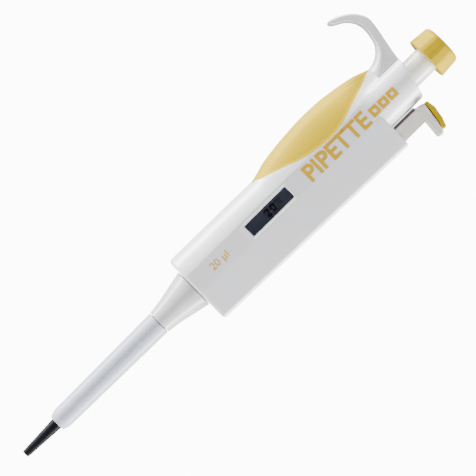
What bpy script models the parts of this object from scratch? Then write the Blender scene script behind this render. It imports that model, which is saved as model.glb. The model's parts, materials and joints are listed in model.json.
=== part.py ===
"""Adjustable micropipette, 2 to 20 microlitres, as an assembly of separate pieces.

Frame: the origin is on the plunger axis, in the plane of the handle's flat bottom face.
+Z runs up the plunger axis to the knob, +X is the thumb side with the tip ejector, -X is the
finger hook side, and -Y is the side with the volume window. Every length is in metres.
"""
import math

import bpy
import bmesh

MM = 0.001
GAP = 0.3 * MM  # clearance between two pieces that touch on the real object

# Handle, in cross-section and in side view
HANDLE_HALF_DEPTH = 9.8 * MM
HANDLE_BACK_X = -14.6 * MM
HANDLE_FRONT_TOP_X = 20.1 * MM
HANDLE_FRONT_BOTTOM_X = 17.6 * MM
BACK_ROUND_CENTRE_X = -5.3 * MM  # where the rounded back meets the flat facet
FACET_END_X = 3.3 * MM  # where the flat facet meets the leaning thumb-side plane
FRONT_EDGE_DROP = 1.2 * MM  # how far the leaning plane falls away towards the front
FRONT_EDGE_RADIUS = 1.8 * MM
SHOULDER_Z = 103.1 * MM
BACK_SHOULDER_Z = 113.4 * MM
CORNER_RADIUS = 1.8 * MM
WALL = 1.8 * MM
FRONT_WALL = 1.3 * MM
FLOOR_WALL = 2.0 * MM

# Tower above the handle
TOWER_RADIUS = 9.7 * MM
TOWER_X = 0.3 * MM
TOWER_BORE_RADIUS = 8.0 * MM
TOWER_BORE_TOP_Z = 119.3 * MM
TOWER_TOP_BACK = (-7.9 * MM, 124.8 * MM)
TOWER_TOP_FRONT = (10.8 * MM, 121.3 * MM)

# Finger hook
HOOK_HALF_WIDTH = 5.4 * MM
HOOK_UPPER = [(-7.0, 124.8), (-17.5, 126.3), (-27.7, 127.9), (-35.2, 123.3), (-39.1, 115.4)]
HOOK_TIP = (-38.3, 114.2)
HOOK_LOWER = [(-36.2, 115.4), (-31.1, 122.2), (-25.0, 123.3), (-18.5, 121.7), (-15.2, 118.4)]

# Leaf-shaped grip insert, in side view
LEAF_TOP = (-13.5, 113.2)
LEAF_BOTTOM = (-14.3, 47.0)
LEAF_FRONT = [LEAF_BOTTOM, (-9.1, 61.2), (-4.9, 77.0), (-5.5, 89.8), LEAF_TOP]
LEAF_BACK = [LEAF_BOTTOM, (-17.6, 61.2), (-19.2, 79.0), (-18.4, 95.0), LEAF_TOP]

# Volume window
WINDOW_LEFT_X = -3.7 * MM
WINDOW_RIGHT_X = 2.4 * MM
WINDOW_LOW_Z = 31.8 * MM
WINDOW_HIGH_Z = 55.1 * MM
LENS_THICKNESS = 0.8 * MM
LENS_INSET = 0.3 * MM
MASK_THICKNESS = 0.7 * MM
MASK_BORDER = 0.9 * MM

# Plunger
PRESS_TRAVEL = 7.2 * MM
FIRST_STOP_TRAVEL = 6.0 * MM
KNOB_RADIUS = 10.0 * MM
KNOB_TOP_RADIUS = 8.9 * MM
KNOB_BOTTOM_Z = 133.0 * MM
KNOB_TOP_Z = 142.8 * MM
KNOB_FACETS = 12
KNOB_TURN = math.radians(5)
KNOB_SOCKET_DEPTH = 3.9 * MM
SLEEVE_RADIUS = 5.8 * MM
SLEEVE_WALL = 1.2 * MM
ROD_RADIUS = 2.4 * MM  # across the corners of the hexagon
ROD_IN_KNOB = 7.0 * MM
STOP_COLLAR_Z = 104.0 * MM
STOP_COLLAR_RADIUS = 6.5 * MM
STOP_COLLAR_HEIGHT = 2.0 * MM
BUSHING_HEIGHT = 7.0 * MM

# Volume setting
SETTING_SLEEVE_RADIUS = 4.9 * MM
THRUST_FLANGE_RADIUS = 6.4 * MM
THRUST_FLANGE_HEIGHT = 1.5 * MM
NUT_BOTTOM_Z = 81.0 * MM
NUT_HEIGHT = 8.0 * MM
NUT_RADIUS = 6.9 * MM
EAR_X = 8.6 * MM
EAR_HALF_WIDTH = 1.7 * MM
GUIDE_PIN_RADIUS = 0.7 * MM
GUIDE_PIN_TOP_Z = 100.5 * MM

# Counter
DRUM_RADIUS = 7.3 * MM
DRUM_HEIGHT = 2.8 * MM
DRUM_BOTTOM_Z = 41.3 * MM
PLATE_THICKNESS = 1.5 * MM
PINION_X = 9.6 * MM
PINION_RADIUS = 1.8 * MM
PINION_HEIGHT = 2.6 * MM
PINION_TEETH = 8
PINION_SHAFT_RADIUS = 0.5 * MM
COLUMN_X = (-10.4 * MM, -7.9 * MM)
COLUMN_HALF_WIDTH = 3.0 * MM

# Piston and lower shaft
PISTON_RADIUS = 1.03 * MM
PISTON_TIP_Z = -62.0 * MM
CARRIER_RADIUS = 6.4 * MM
CARRIER_HEIGHT = 3.0 * MM
PISTON_IN_CARRIER = 1.7 * MM
SEAT_Z = 17.0 * MM
SEAT_THICKNESS = 2.0 * MM
SHAFT_RADIUS = 3.4 * MM
SHAFT_BORE = 2.6 * MM
SHAFT_FLANGE_RADIUS = 6.0 * MM
SHAFT_FLANGE_HEIGHT = 2.0 * MM
SHAFT_BOTTOM_Z = -72.0 * MM
COUPLING_NUT_HEIGHT = 4.2 * MM
SEAL_Z = -53.0 * MM
SEAL_HEIGHT = 2.5 * MM
O_RING_WIRE = 0.42 * MM
RETAINER_HEIGHT = 2.0 * MM
NOZZLE_BOTTOM_Z = -97.2 * MM
NOZZLE_SHOULDER_RADIUS = 3.2 * MM
NOZZLE_TOP_RADIUS = 2.6 * MM
NOZZLE_TIP_RADIUS = 1.64 * MM
NOZZLE_TIP_BORE = 0.45 * MM
NOZZLE_SPIGOT_TOP_Z = -56.0 * MM

# Tip ejector
COLLAR_NECK_RADIUS = 7.8 * MM
COLLAR_NECK_TOP_Z = 13.0 * MM
COLLAR_TOP_RADIUS = 9.1 * MM
COLLAR_BOTTOM_Z = -20.2 * MM
COLLAR_WALL = 1.2 * MM
NECK_BORE = COLLAR_NECK_RADIUS - COLLAR_WALL
TUBE_TOP_RADIUS = 5.3 * MM
TUBE_BOTTOM_RADIUS = 4.6 * MM
TUBE_BOTTOM_Z = -79.0 * MM
TUBE_BORE = 3.8 * MM
LIP_RADIUS = 3.6 * MM
LIP_BORE = 3.0 * MM
SPIGOT_LENGTH = 8.0 * MM
STEM_LEFT_X = 11.7 * MM
STEM_RIGHT_X = 18.2 * MM
STEM_HALF_WIDTH = 4.0 * MM
STEM_BOTTOM_Z = 102.5 * MM
HEAD_HALF_WIDTH = 6.5 * MM
HEAD_OUTLINE = [(11.0, 115.6), (26.2, 114.4), (26.9, 116.0), (25.7, 117.4), (12.0, 119.5)]
INSERT_OUTLINE = [(12.1, 119.8), (25.5, 117.7), (25.5, 119.5), (16.0, 121.7), (12.3, 120.9)]
ARM_BLOCK_BOTTOM_Z = 95.0 * MM
ARM_BAR_X = (14.2 * MM, 16.0 * MM)
ARM_HALF_WIDTH = 3.0 * MM
ARM_FOOT_THICKNESS = 2.0 * MM
GUIDE_BLOCK_Z = (68.0 * MM, 71.7 * MM)

# Springs: mean coil radius, wire radius, turns
PRIMARY_SPRING = (4.6 * MM, 0.35 * MM, 6)
BLOWOUT_SPRING = (5.65 * MM, 0.35 * MM, 4)
EJECTOR_SPRING = (1.2 * MM, 0.3 * MM, 9)
EJECTOR_SPRING_X = 12.5 * MM
POINTS_PER_TURN = 9

LOCATING_PIN_RADIUS = 1.0 * MM
LOCATING_PIN_X = -10.6 * MM
LOCATING_PIN_HEIGHTS = {"locating_pin_lower": 8.0 * MM, "locating_pin_upper": 34.0 * MM}

COARSE = 16  # sides of a small round piece
FINE = 32  # sides of a large round piece

MATERIALS = {
    "white_shell": ((0.78, 0.78, 0.80), 0.35, 0.0),
    "cool_white": ((0.62, 0.64, 0.68), 0.35, 0.0),
    "ivory": ((0.85, 0.82, 0.76), 0.35, 0.0),
    "yellow": ((0.90, 0.68, 0.02), 0.35, 0.0),
    "black_plastic": ((0.015, 0.015, 0.018), 0.4, 0.0),
    "smoked_glass": ((0.03, 0.035, 0.08), 0.1, 0.0),
    "drum_blue": ((0.03, 0.035, 0.07), 0.4, 0.0),
    "steel": ((0.60, 0.60, 0.62), 0.3, 1.0),
    "brass": ((0.75, 0.55, 0.25), 0.3, 1.0),
    "grey_polymer": ((0.35, 0.36, 0.38), 0.5, 0.0),
    "rubber": ((0.02, 0.02, 0.02), 0.8, 0.0),
}


def clear_scene():
    for obj in list(bpy.data.objects):
        bpy.data.objects.remove(obj, do_unlink=True)


def make_collection(name):
    collection = bpy.data.collections.new(name)
    bpy.context.scene.collection.children.link(collection)
    return collection


def make_materials():
    made = {}
    for name, (colour, roughness, metallic) in MATERIALS.items():
        material = bpy.data.materials.new(name)
        material.use_nodes = True
        shader = material.node_tree.nodes["Principled BSDF"]
        shader.inputs["Base Color"].default_value = (*colour, 1)
        shader.inputs["Roughness"].default_value = roughness
        shader.inputs["Metallic"].default_value = metallic
        made[name] = material
    return made


def add_object(name, mesh, material=None):
    """A piece when it has a material, and a cutter when it has none."""
    obj = bpy.data.objects.new(name, mesh)
    if material:
        parts.objects.link(obj)
        mesh.materials.append(finishes[material])
        mesh.shade_smooth()
        mesh.set_sharp_from_angle(angle=math.radians(30))
    else:
        cutters.objects.link(obj)
        obj.hide_render = True
        obj.display_type = "WIRE"
    return obj


def boolean(target, other, operation="DIFFERENCE"):
    modifier = target.modifiers.new(other.name, "BOOLEAN")
    modifier.operation = operation
    modifier.solver = "EXACT"
    modifier.object = other
    return target


def turned(name, profile, material=None, sides=FINE, x=0.0):
    """A turned solid: the (radius, height) profile runs down its outer side."""
    closed = profile[0][0] > 0 or profile[-1][0] > 0
    count = len(profile)
    edges = [(i, i + 1) for i in range(count - 1)]
    if closed:
        edges.append((count - 1, 0))
    mesh = bpy.data.meshes.new(name)
    mesh.from_pydata([(radius, 0, z) for radius, z in profile], edges, [])
    obj = add_object(name, mesh, material)
    obj.location.x = x
    screw = obj.modifiers.new("Screw", "SCREW")
    screw.axis = "Z"
    screw.steps = sides
    screw.render_steps = sides
    screw.use_merge_vertices = True
    screw.merge_threshold = 0.001 * MM
    screw.use_smooth_shade = True
    return obj


def disc(name, radius, low, high, material=None, sides=FINE, x=0.0):
    return turned(name, [(0, high), (radius, high), (radius, low), (0, low)], material, sides, x)


def ring(name, outer, inner, low, high, material=None, sides=FINE, x=0.0):
    profile = [(outer, high), (outer, low), (inner, low), (inner, high)]
    return turned(name, profile, material, sides, x)


def box(name, x_range, y_range, z_range, material=None, bevel=0.0):
    mesh = bpy.data.meshes.new(name)
    shape = bmesh.new()
    bmesh.ops.create_cube(shape, size=1)
    ranges = (x_range, y_range, z_range)
    for vert in shape.verts:
        vert.co = [low + (high - low) * (side + 0.5) for side, (low, high) in zip(vert.co, ranges)]
    shape.to_mesh(mesh)
    shape.free()
    obj = add_object(name, mesh, material)
    if bevel:
        modifier = obj.modifiers.new("Bevel", "BEVEL")
        modifier.width = bevel
        modifier.segments = 2
    return obj


def mesh_from_curve(name, curve, material, turn_up):
    """The curve's evaluated surface as a mesh object, with its loose caps welded."""
    source = bpy.data.objects.new(name + "_curve", curve)
    cutters.objects.link(source)
    if turn_up:
        source.rotation_euler.x = math.radians(90)
    bpy.context.view_layer.update()
    evaluated = source.evaluated_get(bpy.context.evaluated_depsgraph_get())
    mesh = bpy.data.meshes.new_from_object(evaluated)
    shape = bmesh.new()
    shape.from_mesh(mesh)
    bmesh.ops.remove_doubles(shape, verts=shape.verts, dist=0.001 * MM)
    bmesh.ops.recalc_face_normals(shape, faces=shape.faces)
    shape.to_mesh(mesh)
    shape.free()
    mesh.materials.clear()
    obj = add_object(name, mesh, material)
    obj.matrix_world = source.matrix_world.copy()
    bpy.data.objects.remove(source, do_unlink=True)
    return obj


def outline_curve(name, points, half_thickness, middle):
    curve = bpy.data.curves.new(name, "CURVE")
    curve.dimensions = "2D"
    curve.fill_mode = "BOTH"
    curve.extrude = half_thickness
    spline = curve.splines.new("POLY")
    spline.points.add(len(points) - 1)
    for point, (across, up) in zip(spline.points, points):
        point.co = (across, up, middle, 1)
    spline.use_cyclic_u = True
    return curve


def side_plate(name, points, half_width, material=None):
    """An outline in X and Z, extruded to both sides of the plane Y = 0."""
    curve = outline_curve(name, points, half_width, 0)
    return mesh_from_curve(name, curve, material, turn_up=True)


def level_plate(name, points, low, high, material=None):
    """An outline in X and Y, extruded from one height to another."""
    curve = outline_curve(name, points, (high - low) / 2, 0)
    obj = mesh_from_curve(name, curve, material, turn_up=False)
    obj.location.z = (low + high) / 2
    return obj


def smooth_through(points, steps=4):
    """Points on a Catmull-Rom curve through the given ones, in metres."""
    path = []
    ends = [points[0]] + list(points) + [points[-1]]
    for a, b, c, d in zip(ends, ends[1:], ends[2:], ends[3:]):
        for step in range(steps):
            t = step / steps
            path.append(tuple(
                0.5 * MM * (2 * q + (r - p) * t + (2 * p - 5 * q + 4 * r - s) * t ** 2
                            + (3 * q - p - 3 * r + s) * t ** 3)
                for p, q, r, s in zip(a, b, c, d)))
    path.append((points[-1][0] * MM, points[-1][1] * MM))
    return path


def rounded(points, steps=3):
    """An outline with each (x, y, radius) corner replaced by an arc."""
    path = []
    count = len(points)
    for index, (x, y, radius) in enumerate(points):
        if not radius:
            path.append((x, y))
            continue
        before = points[index - 1]
        after = points[(index + 1) % count]
        to_before = math.atan2(before[1] - y, before[0] - x)
        to_after = math.atan2(after[1] - y, after[0] - x)
        opening = (to_after - to_before) % (2 * math.pi)
        half = min(opening, 2 * math.pi - opening) / 2
        middle = math.atan2(
            math.sin(to_before) + math.sin(to_after), math.cos(to_before) + math.cos(to_after))
        centre_x = x + radius / math.sin(half) * math.cos(middle)
        centre_y = y + radius / math.sin(half) * math.sin(middle)
        sweep = math.pi - 2 * half
        side = 1 if opening < math.pi else -1
        for step in range(steps + 1):
            angle = middle + math.pi + side * (step / steps - 0.5) * -sweep
            path.append((centre_x + radius * math.cos(angle), centre_y + radius * math.sin(angle)))
    return path


def handle_section(inset=0.0, front_x=HANDLE_FRONT_TOP_X, back_x=HANDLE_BACK_X, steps=6):
    """The handle's outline in X and Y: rounded back, flat facet, leaning plane, front face."""
    depth = HANDLE_HALF_DEPTH - inset
    reach = BACK_ROUND_CENTRE_X - back_x - inset
    corner = max(FRONT_EDGE_RADIUS - inset, 0.4 * MM)
    lower = []
    for step in range(steps + 1):
        angle = math.radians(90) * step / steps
        lower.append((BACK_ROUND_CENTRE_X - reach * math.cos(angle), -depth * math.sin(angle)))
    lower.append((FACET_END_X, -depth))
    edge_y = -(depth - FRONT_EDGE_DROP)
    for step in range(4):
        angle = math.radians(90) * step / 3
        lower.append((front_x - corner + corner * math.sin(angle),
                      edge_y + corner - corner * math.cos(angle)))
    upper = [(x, -y) for x, y in reversed(lower[1:])]
    return lower + upper


def leaf_outline():
    return smooth_through(LEAF_FRONT) + smooth_through(LEAF_BACK)[-2:0:-1]


def pocket_outline():
    """Room for the leaf: its front arc with clearance, open towards the back."""
    front = [(x + GAP, z) for x, z in smooth_through(LEAF_FRONT)]
    behind = HANDLE_BACK_X - 5 * WALL
    return front + [(behind, front[-1][1]), (behind, front[0][1])]


def build_housing():
    back, floor = HANDLE_BACK_X, 0.0
    silhouette = side_plate("handle_silhouette", rounded([
        (back - GAP, floor, CORNER_RADIUS),
        (HANDLE_FRONT_BOTTOM_X, floor, CORNER_RADIUS / 2),
        (HANDLE_FRONT_TOP_X, SHOULDER_Z, CORNER_RADIUS),
        (TOWER_X - WALL, SHOULDER_Z, 0),
        (TOWER_X - WALL, BACK_SHOULDER_Z, 0),
        (back, BACK_SHOULDER_Z, 0),
    ]), 2 * HANDLE_HALF_DEPTH)
    tower = disc("tower", TOWER_RADIUS, SHOULDER_Z - WALL / 2, TOWER_TOP_BACK[1] + 2 * WALL, x=TOWER_X)
    slope = (TOWER_TOP_FRONT[1] - TOWER_TOP_BACK[1]) / (TOWER_TOP_FRONT[0] - TOWER_TOP_BACK[0])
    reach = 2 * TOWER_RADIUS
    top_cut = side_plate("tower_top_cut", [
        (-reach, TOWER_TOP_BACK[1] + slope * (-reach - TOWER_TOP_BACK[0])),
        (reach, TOWER_TOP_BACK[1] + slope * (reach - TOWER_TOP_BACK[0])),
        (reach, TOWER_TOP_BACK[1] + reach),
        (-reach, TOWER_TOP_BACK[1] + reach),
    ], 2 * HANDLE_HALF_DEPTH)
    ceiling = SHOULDER_Z - WALL
    cavity = level_plate("cavity", handle_section(WALL), FLOOR_WALL, ceiling)
    cavity_front = side_plate("cavity_front", [
        (back, FLOOR_WALL / 2),
        (HANDLE_FRONT_BOTTOM_X - FRONT_WALL, FLOOR_WALL / 2),
        (HANDLE_FRONT_TOP_X - FRONT_WALL, SHOULDER_Z),
        (back, SHOULDER_Z),
    ], 2 * HANDLE_HALF_DEPTH)
    boolean(cavity, cavity_front, "INTERSECT")
    bore = disc("tower_bore", TOWER_BORE_RADIUS, ceiling - WALL, TOWER_BORE_TOP_Z)
    neck_hole = disc("neck_hole", COLLAR_NECK_RADIUS + GAP, -WALL, 2 * FLOOR_WALL)
    sleeve_hole = disc("sleeve_hole", SLEEVE_RADIUS + GAP, TOWER_BORE_TOP_Z - WALL,
                       TOWER_TOP_BACK[1] + WALL)
    slot = box("ejector_slot", (TOWER_X + TOWER_RADIUS + GAP, STEM_RIGHT_X + GAP),
               (-STEM_HALF_WIDTH - GAP, STEM_HALF_WIDTH + GAP),
               (ceiling - WALL, SHOULDER_Z + WALL))
    pocket = side_plate("leaf_pocket", pocket_outline(), 2 * HANDLE_HALF_DEPTH)
    window = box("window_opening", (WINDOW_LEFT_X, WINDOW_RIGHT_X),
                 (-2 * HANDLE_HALF_DEPTH, -HANDLE_HALF_DEPTH / 2), (WINDOW_LOW_Z, WINDOW_HIGH_Z))
    wide = 4 * HANDLE_HALF_DEPTH
    for side, name in ((-1, "housing_near_half"), (1, "housing_far_half")):
        shell = level_plate(name, handle_section(), -WALL, BACK_SHOULDER_Z + WALL, "white_shell")
        boolean(shell, silhouette, "INTERSECT")
        boolean(shell, tower, "UNION")
        seam = sorted((-side * wide, side * GAP / 2))
        other = box(name + "_seam", (-wide, wide), seam, (-wide, TOWER_TOP_BACK[1] + wide))
        openings = [top_cut, cavity, bore, neck_hole, sleeve_hole, slot, pocket, other]
        if side < 0:
            openings.append(window)
        for opening in openings:
            boolean(shell, opening)
    return cavity


def build_hook():
    upper = smooth_through(HOOK_UPPER)
    lower = smooth_through([HOOK_TIP] + HOOK_LOWER)
    foot = BACK_SHOULDER_Z + GAP
    root_x = HOOK_UPPER[0][0] * MM
    outline = upper + lower + [(HOOK_LOWER[-1][0] * MM + 1.5 * MM, foot), (root_x, foot)]
    hook = side_plate("finger_hook", outline, HOOK_HALF_WIDTH, "white_shell")
    clear = disc("hook_clearance", TOWER_RADIUS + GAP, foot - WALL, TOWER_TOP_BACK[1] + 2 * WALL,
                 x=TOWER_X)
    boolean(hook, clear)


def build_grip(cavity):
    deepest = min(x for x, z in LEAF_BACK) * MM
    grip = level_plate("grip_insert", handle_section(back_x=deepest), LEAF_BOTTOM[1] * MM - WALL,
                       LEAF_TOP[1] * MM + WALL, "yellow")
    leaf = side_plate("leaf", leaf_outline(), 2 * HANDLE_HALF_DEPTH)
    boolean(grip, leaf, "INTERSECT")
    boolean(grip, cavity)
    bore_room = disc("grip_bore_room", TOWER_BORE_RADIUS + GAP, LEAF_BOTTOM[1] * MM,
                     BACK_SHOULDER_Z + WALL)
    boolean(grip, bore_room)


def build_window():
    left, right = WINDOW_LEFT_X + GAP, WINDOW_RIGHT_X - GAP
    low, high = WINDOW_LOW_Z + GAP, WINDOW_HIGH_Z - GAP
    face = -HANDLE_HALF_DEPTH + LENS_INSET
    box("window_lens", (left, right), (face, face + LENS_THICKNESS), (low, high), "smoked_glass")
    back = face + LENS_THICKNESS + GAP
    mask = box("window_mask", (left, right), (back, back + MASK_THICKNESS), (low, high),
               "drum_blue")
    aperture = box("mask_aperture", (left + MASK_BORDER, right - MASK_BORDER),
                   (back - GAP, back + MASK_THICKNESS + GAP),
                   (DRUM_BOTTOM_Z, DRUM_BOTTOM_Z + 3 * (DRUM_HEIGHT + GAP) - GAP))
    boolean(mask, aperture)


def build_locating_pins():
    cavity_reach = BACK_ROUND_CENTRE_X - HANDLE_BACK_X - WALL
    share = (BACK_ROUND_CENTRE_X - LOCATING_PIN_X + LOCATING_PIN_RADIUS) / cavity_reach
    reach = (HANDLE_HALF_DEPTH - WALL) * math.sqrt(1 - share ** 2) - GAP
    for name, z in LOCATING_PIN_HEIGHTS.items():
        pin = disc(name, LOCATING_PIN_RADIUS, -reach, reach, "steel", COARSE)
        pin.rotation_euler.x = math.radians(90)
        pin.location = (LOCATING_PIN_X, 0, z)


def knob_group(carrier_top):
    socket_top = KNOB_BOTTOM_Z + KNOB_SOCKET_DEPTH
    rod_top = KNOB_BOTTOM_Z + ROD_IN_KNOB
    sleeve_hole, rod_hole = SLEEVE_RADIUS + 2 * GAP, ROD_RADIUS + 1.5 * GAP
    knob = turned("knob", [
        (0, KNOB_TOP_Z),
        (KNOB_TOP_RADIUS - 1.2 * MM, KNOB_TOP_Z),
        (KNOB_TOP_RADIUS - 0.2 * MM, KNOB_TOP_Z - 0.5 * MM),
        (KNOB_TOP_RADIUS + 0.3 * MM, KNOB_TOP_Z - 2.0 * MM),
        (KNOB_RADIUS, KNOB_BOTTOM_Z + 0.6 * MM),
        (KNOB_RADIUS - 0.5 * MM, KNOB_BOTTOM_Z),
        (sleeve_hole, KNOB_BOTTOM_Z),
        (sleeve_hole, socket_top),
        (rod_hole, socket_top),
        (rod_hole, rod_top + GAP),
        (0, rod_top + GAP),
    ], "yellow", KNOB_FACETS)
    knob.rotation_euler.z = KNOB_TURN
    collar_top = STOP_COLLAR_Z + STOP_COLLAR_HEIGHT
    ring("plunger_sleeve", SLEEVE_RADIUS, SLEEVE_RADIUS - SLEEVE_WALL, collar_top + GAP,
         socket_top - GAP, "ivory", FINE)
    disc("plunger_rod", ROD_RADIUS, carrier_top + GAP, rod_top, "steel", 6)
    ring("stop_collar", STOP_COLLAR_RADIUS, ROD_RADIUS + 1.5 * GAP, STOP_COLLAR_Z, collar_top,
         "brass", COARSE)
    bushing_top = TOWER_BORE_TOP_Z - GAP
    ring("top_bushing", TOWER_BORE_RADIUS - GAP, SLEEVE_RADIUS + GAP, bushing_top - BUSHING_HEIGHT,
         bushing_top, "grey_polymer", FINE)


def counter_plate(name, low, high, material=None):
    """A counter plate: a round centre with a lobe to each side."""
    plate = disc(name, DRUM_RADIUS + GAP, low, high, material, COARSE)
    lobe = box(name + "_lobe", (COLUMN_X[0], PINION_X + PINION_RADIUS - GAP),
               (-COLUMN_HALF_WIDTH, COLUMN_HALF_WIDTH), (low + GAP / 3, high - GAP / 3))
    return boolean(plate, lobe, "UNION")


def build_counter():
    """The counter's frame, drums and carry pinions. Returns the height of the frame's top."""
    pitch = DRUM_HEIGHT + GAP
    drums_top = DRUM_BOTTOM_Z + 3 * pitch - GAP
    bottom = DRUM_BOTTOM_Z - GAP - PLATE_THICKNESS
    top = drums_top + GAP + PLATE_THICKNESS
    frame = counter_plate("counter_frame", bottom, bottom + PLATE_THICKNESS, "grey_polymer")
    boolean(frame, counter_plate("counter_top_plate", top - PLATE_THICKNESS, top), "UNION")
    column = box("counter_column", COLUMN_X, (-COLUMN_HALF_WIDTH, COLUMN_HALF_WIDTH),
                 (bottom + GAP, top - GAP))
    boolean(frame, column, "UNION")
    bore = disc("counter_bore", SETTING_SLEEVE_RADIUS + GAP, bottom - WALL, top + WALL)
    boolean(frame, bore)
    for index, name in enumerate(("tens_drum", "units_drum", "tenths_drum")):
        low = DRUM_BOTTOM_Z + index * pitch
        ring(name, DRUM_RADIUS, SETTING_SLEEVE_RADIUS + GAP, low, low + DRUM_HEIGHT, "drum_blue",
             FINE)
    disc("pinion_shaft", PINION_SHAFT_RADIUS, DRUM_BOTTOM_Z, drums_top, "steel", 12, PINION_X)
    tooth = math.pi / PINION_TEETH
    for index, name in enumerate(("carry_pinion_lower", "carry_pinion_upper")):
        low = DRUM_BOTTOM_Z + index * pitch + 0.55 * DRUM_HEIGHT
        star = []
        for corner in range(2 * PINION_TEETH):
            radius = PINION_RADIUS * (1 if corner % 2 else 0.68)
            star.append((radius * math.cos(corner * tooth), radius * math.sin(corner * tooth)))
        pinion = level_plate(name, star, low, low + PINION_HEIGHT, "brass")
        pinion.location.x = PINION_X
        hole = disc(name + "_hole", PINION_SHAFT_RADIUS + GAP, low - WALL, low + PINION_HEIGHT + WALL,
                    None, 12, PINION_X)
        boolean(pinion, hole)
    return bottom, top


def build_setting(frame_bottom, frame_top):
    """The setting sleeve that turns with the rod, and the stop nut that climbs on it."""
    full_press = STOP_COLLAR_Z - PRESS_TRAVEL
    flange_low = frame_top + GAP
    flange_high = flange_low + THRUST_FLANGE_HEIGHT
    sleeve = turned("setting_sleeve", [
        (0, full_press - GAP),
        (SETTING_SLEEVE_RADIUS, full_press - GAP),
        (SETTING_SLEEVE_RADIUS, flange_high),
        (THRUST_FLANGE_RADIUS, flange_high),
        (THRUST_FLANGE_RADIUS, flange_low),
        (SETTING_SLEEVE_RADIUS, flange_low),
        (SETTING_SLEEVE_RADIUS, frame_bottom),
        (0, frame_bottom),
    ], "brass", COARSE)
    hexagon = disc("hexagon_bore", ROD_RADIUS + 1.2 * GAP, frame_bottom - WALL, full_press + WALL,
                   None, 6)
    boolean(sleeve, hexagon)
    nut_top = NUT_BOTTOM_Z + NUT_HEIGHT
    nut = ring("stop_nut", NUT_RADIUS, SETTING_SLEEVE_RADIUS + GAP, NUT_BOTTOM_Z, nut_top, "grey_polymer")
    ear = box("nut_ear", (SETTING_SLEEVE_RADIUS + 3 * GAP, EAR_X + GUIDE_PIN_RADIUS + 2 * GAP),
              (-EAR_HALF_WIDTH, EAR_HALF_WIDTH), (NUT_BOTTOM_Z + GAP, nut_top - GAP))
    boolean(nut, ear, "UNION")
    boolean(nut, disc("ear_hole", GUIDE_PIN_RADIUS + GAP, NUT_BOTTOM_Z - WALL, nut_top + WALL, None,
                      12, EAR_X))
    disc("nut_guide_pin", GUIDE_PIN_RADIUS, flange_low, GUIDE_PIN_TOP_Z, "steel", 12, EAR_X)
    coil("blowout_spring", BLOWOUT_SPRING, nut_top + GAP, STOP_COLLAR_Z - FIRST_STOP_TRAVEL)


def coil(name, sizes, low, high, x=0.0):
    """A helical spring between two heights, with its wire wholly between them."""
    radius, wire, turns = sizes
    curve = bpy.data.curves.new(name, "CURVE")
    curve.dimensions = "3D"
    curve.bevel_depth = wire
    curve.bevel_resolution = 2
    curve.use_fill_caps = True
    spline = curve.splines.new("POLY")
    count = turns * POINTS_PER_TURN
    spline.points.add(count)
    start, climb = low + 1.05 * wire, high - low - 2.1 * wire
    for index, point in enumerate(spline.points):
        angle = 2 * math.pi * index / POINTS_PER_TURN
        point.co = (x + radius * math.cos(angle), radius * math.sin(angle),
                    start + climb * index / count, 1)
    curve.materials.append(finishes["steel"])
    parts.objects.link(bpy.data.objects.new(name, curve))


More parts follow.
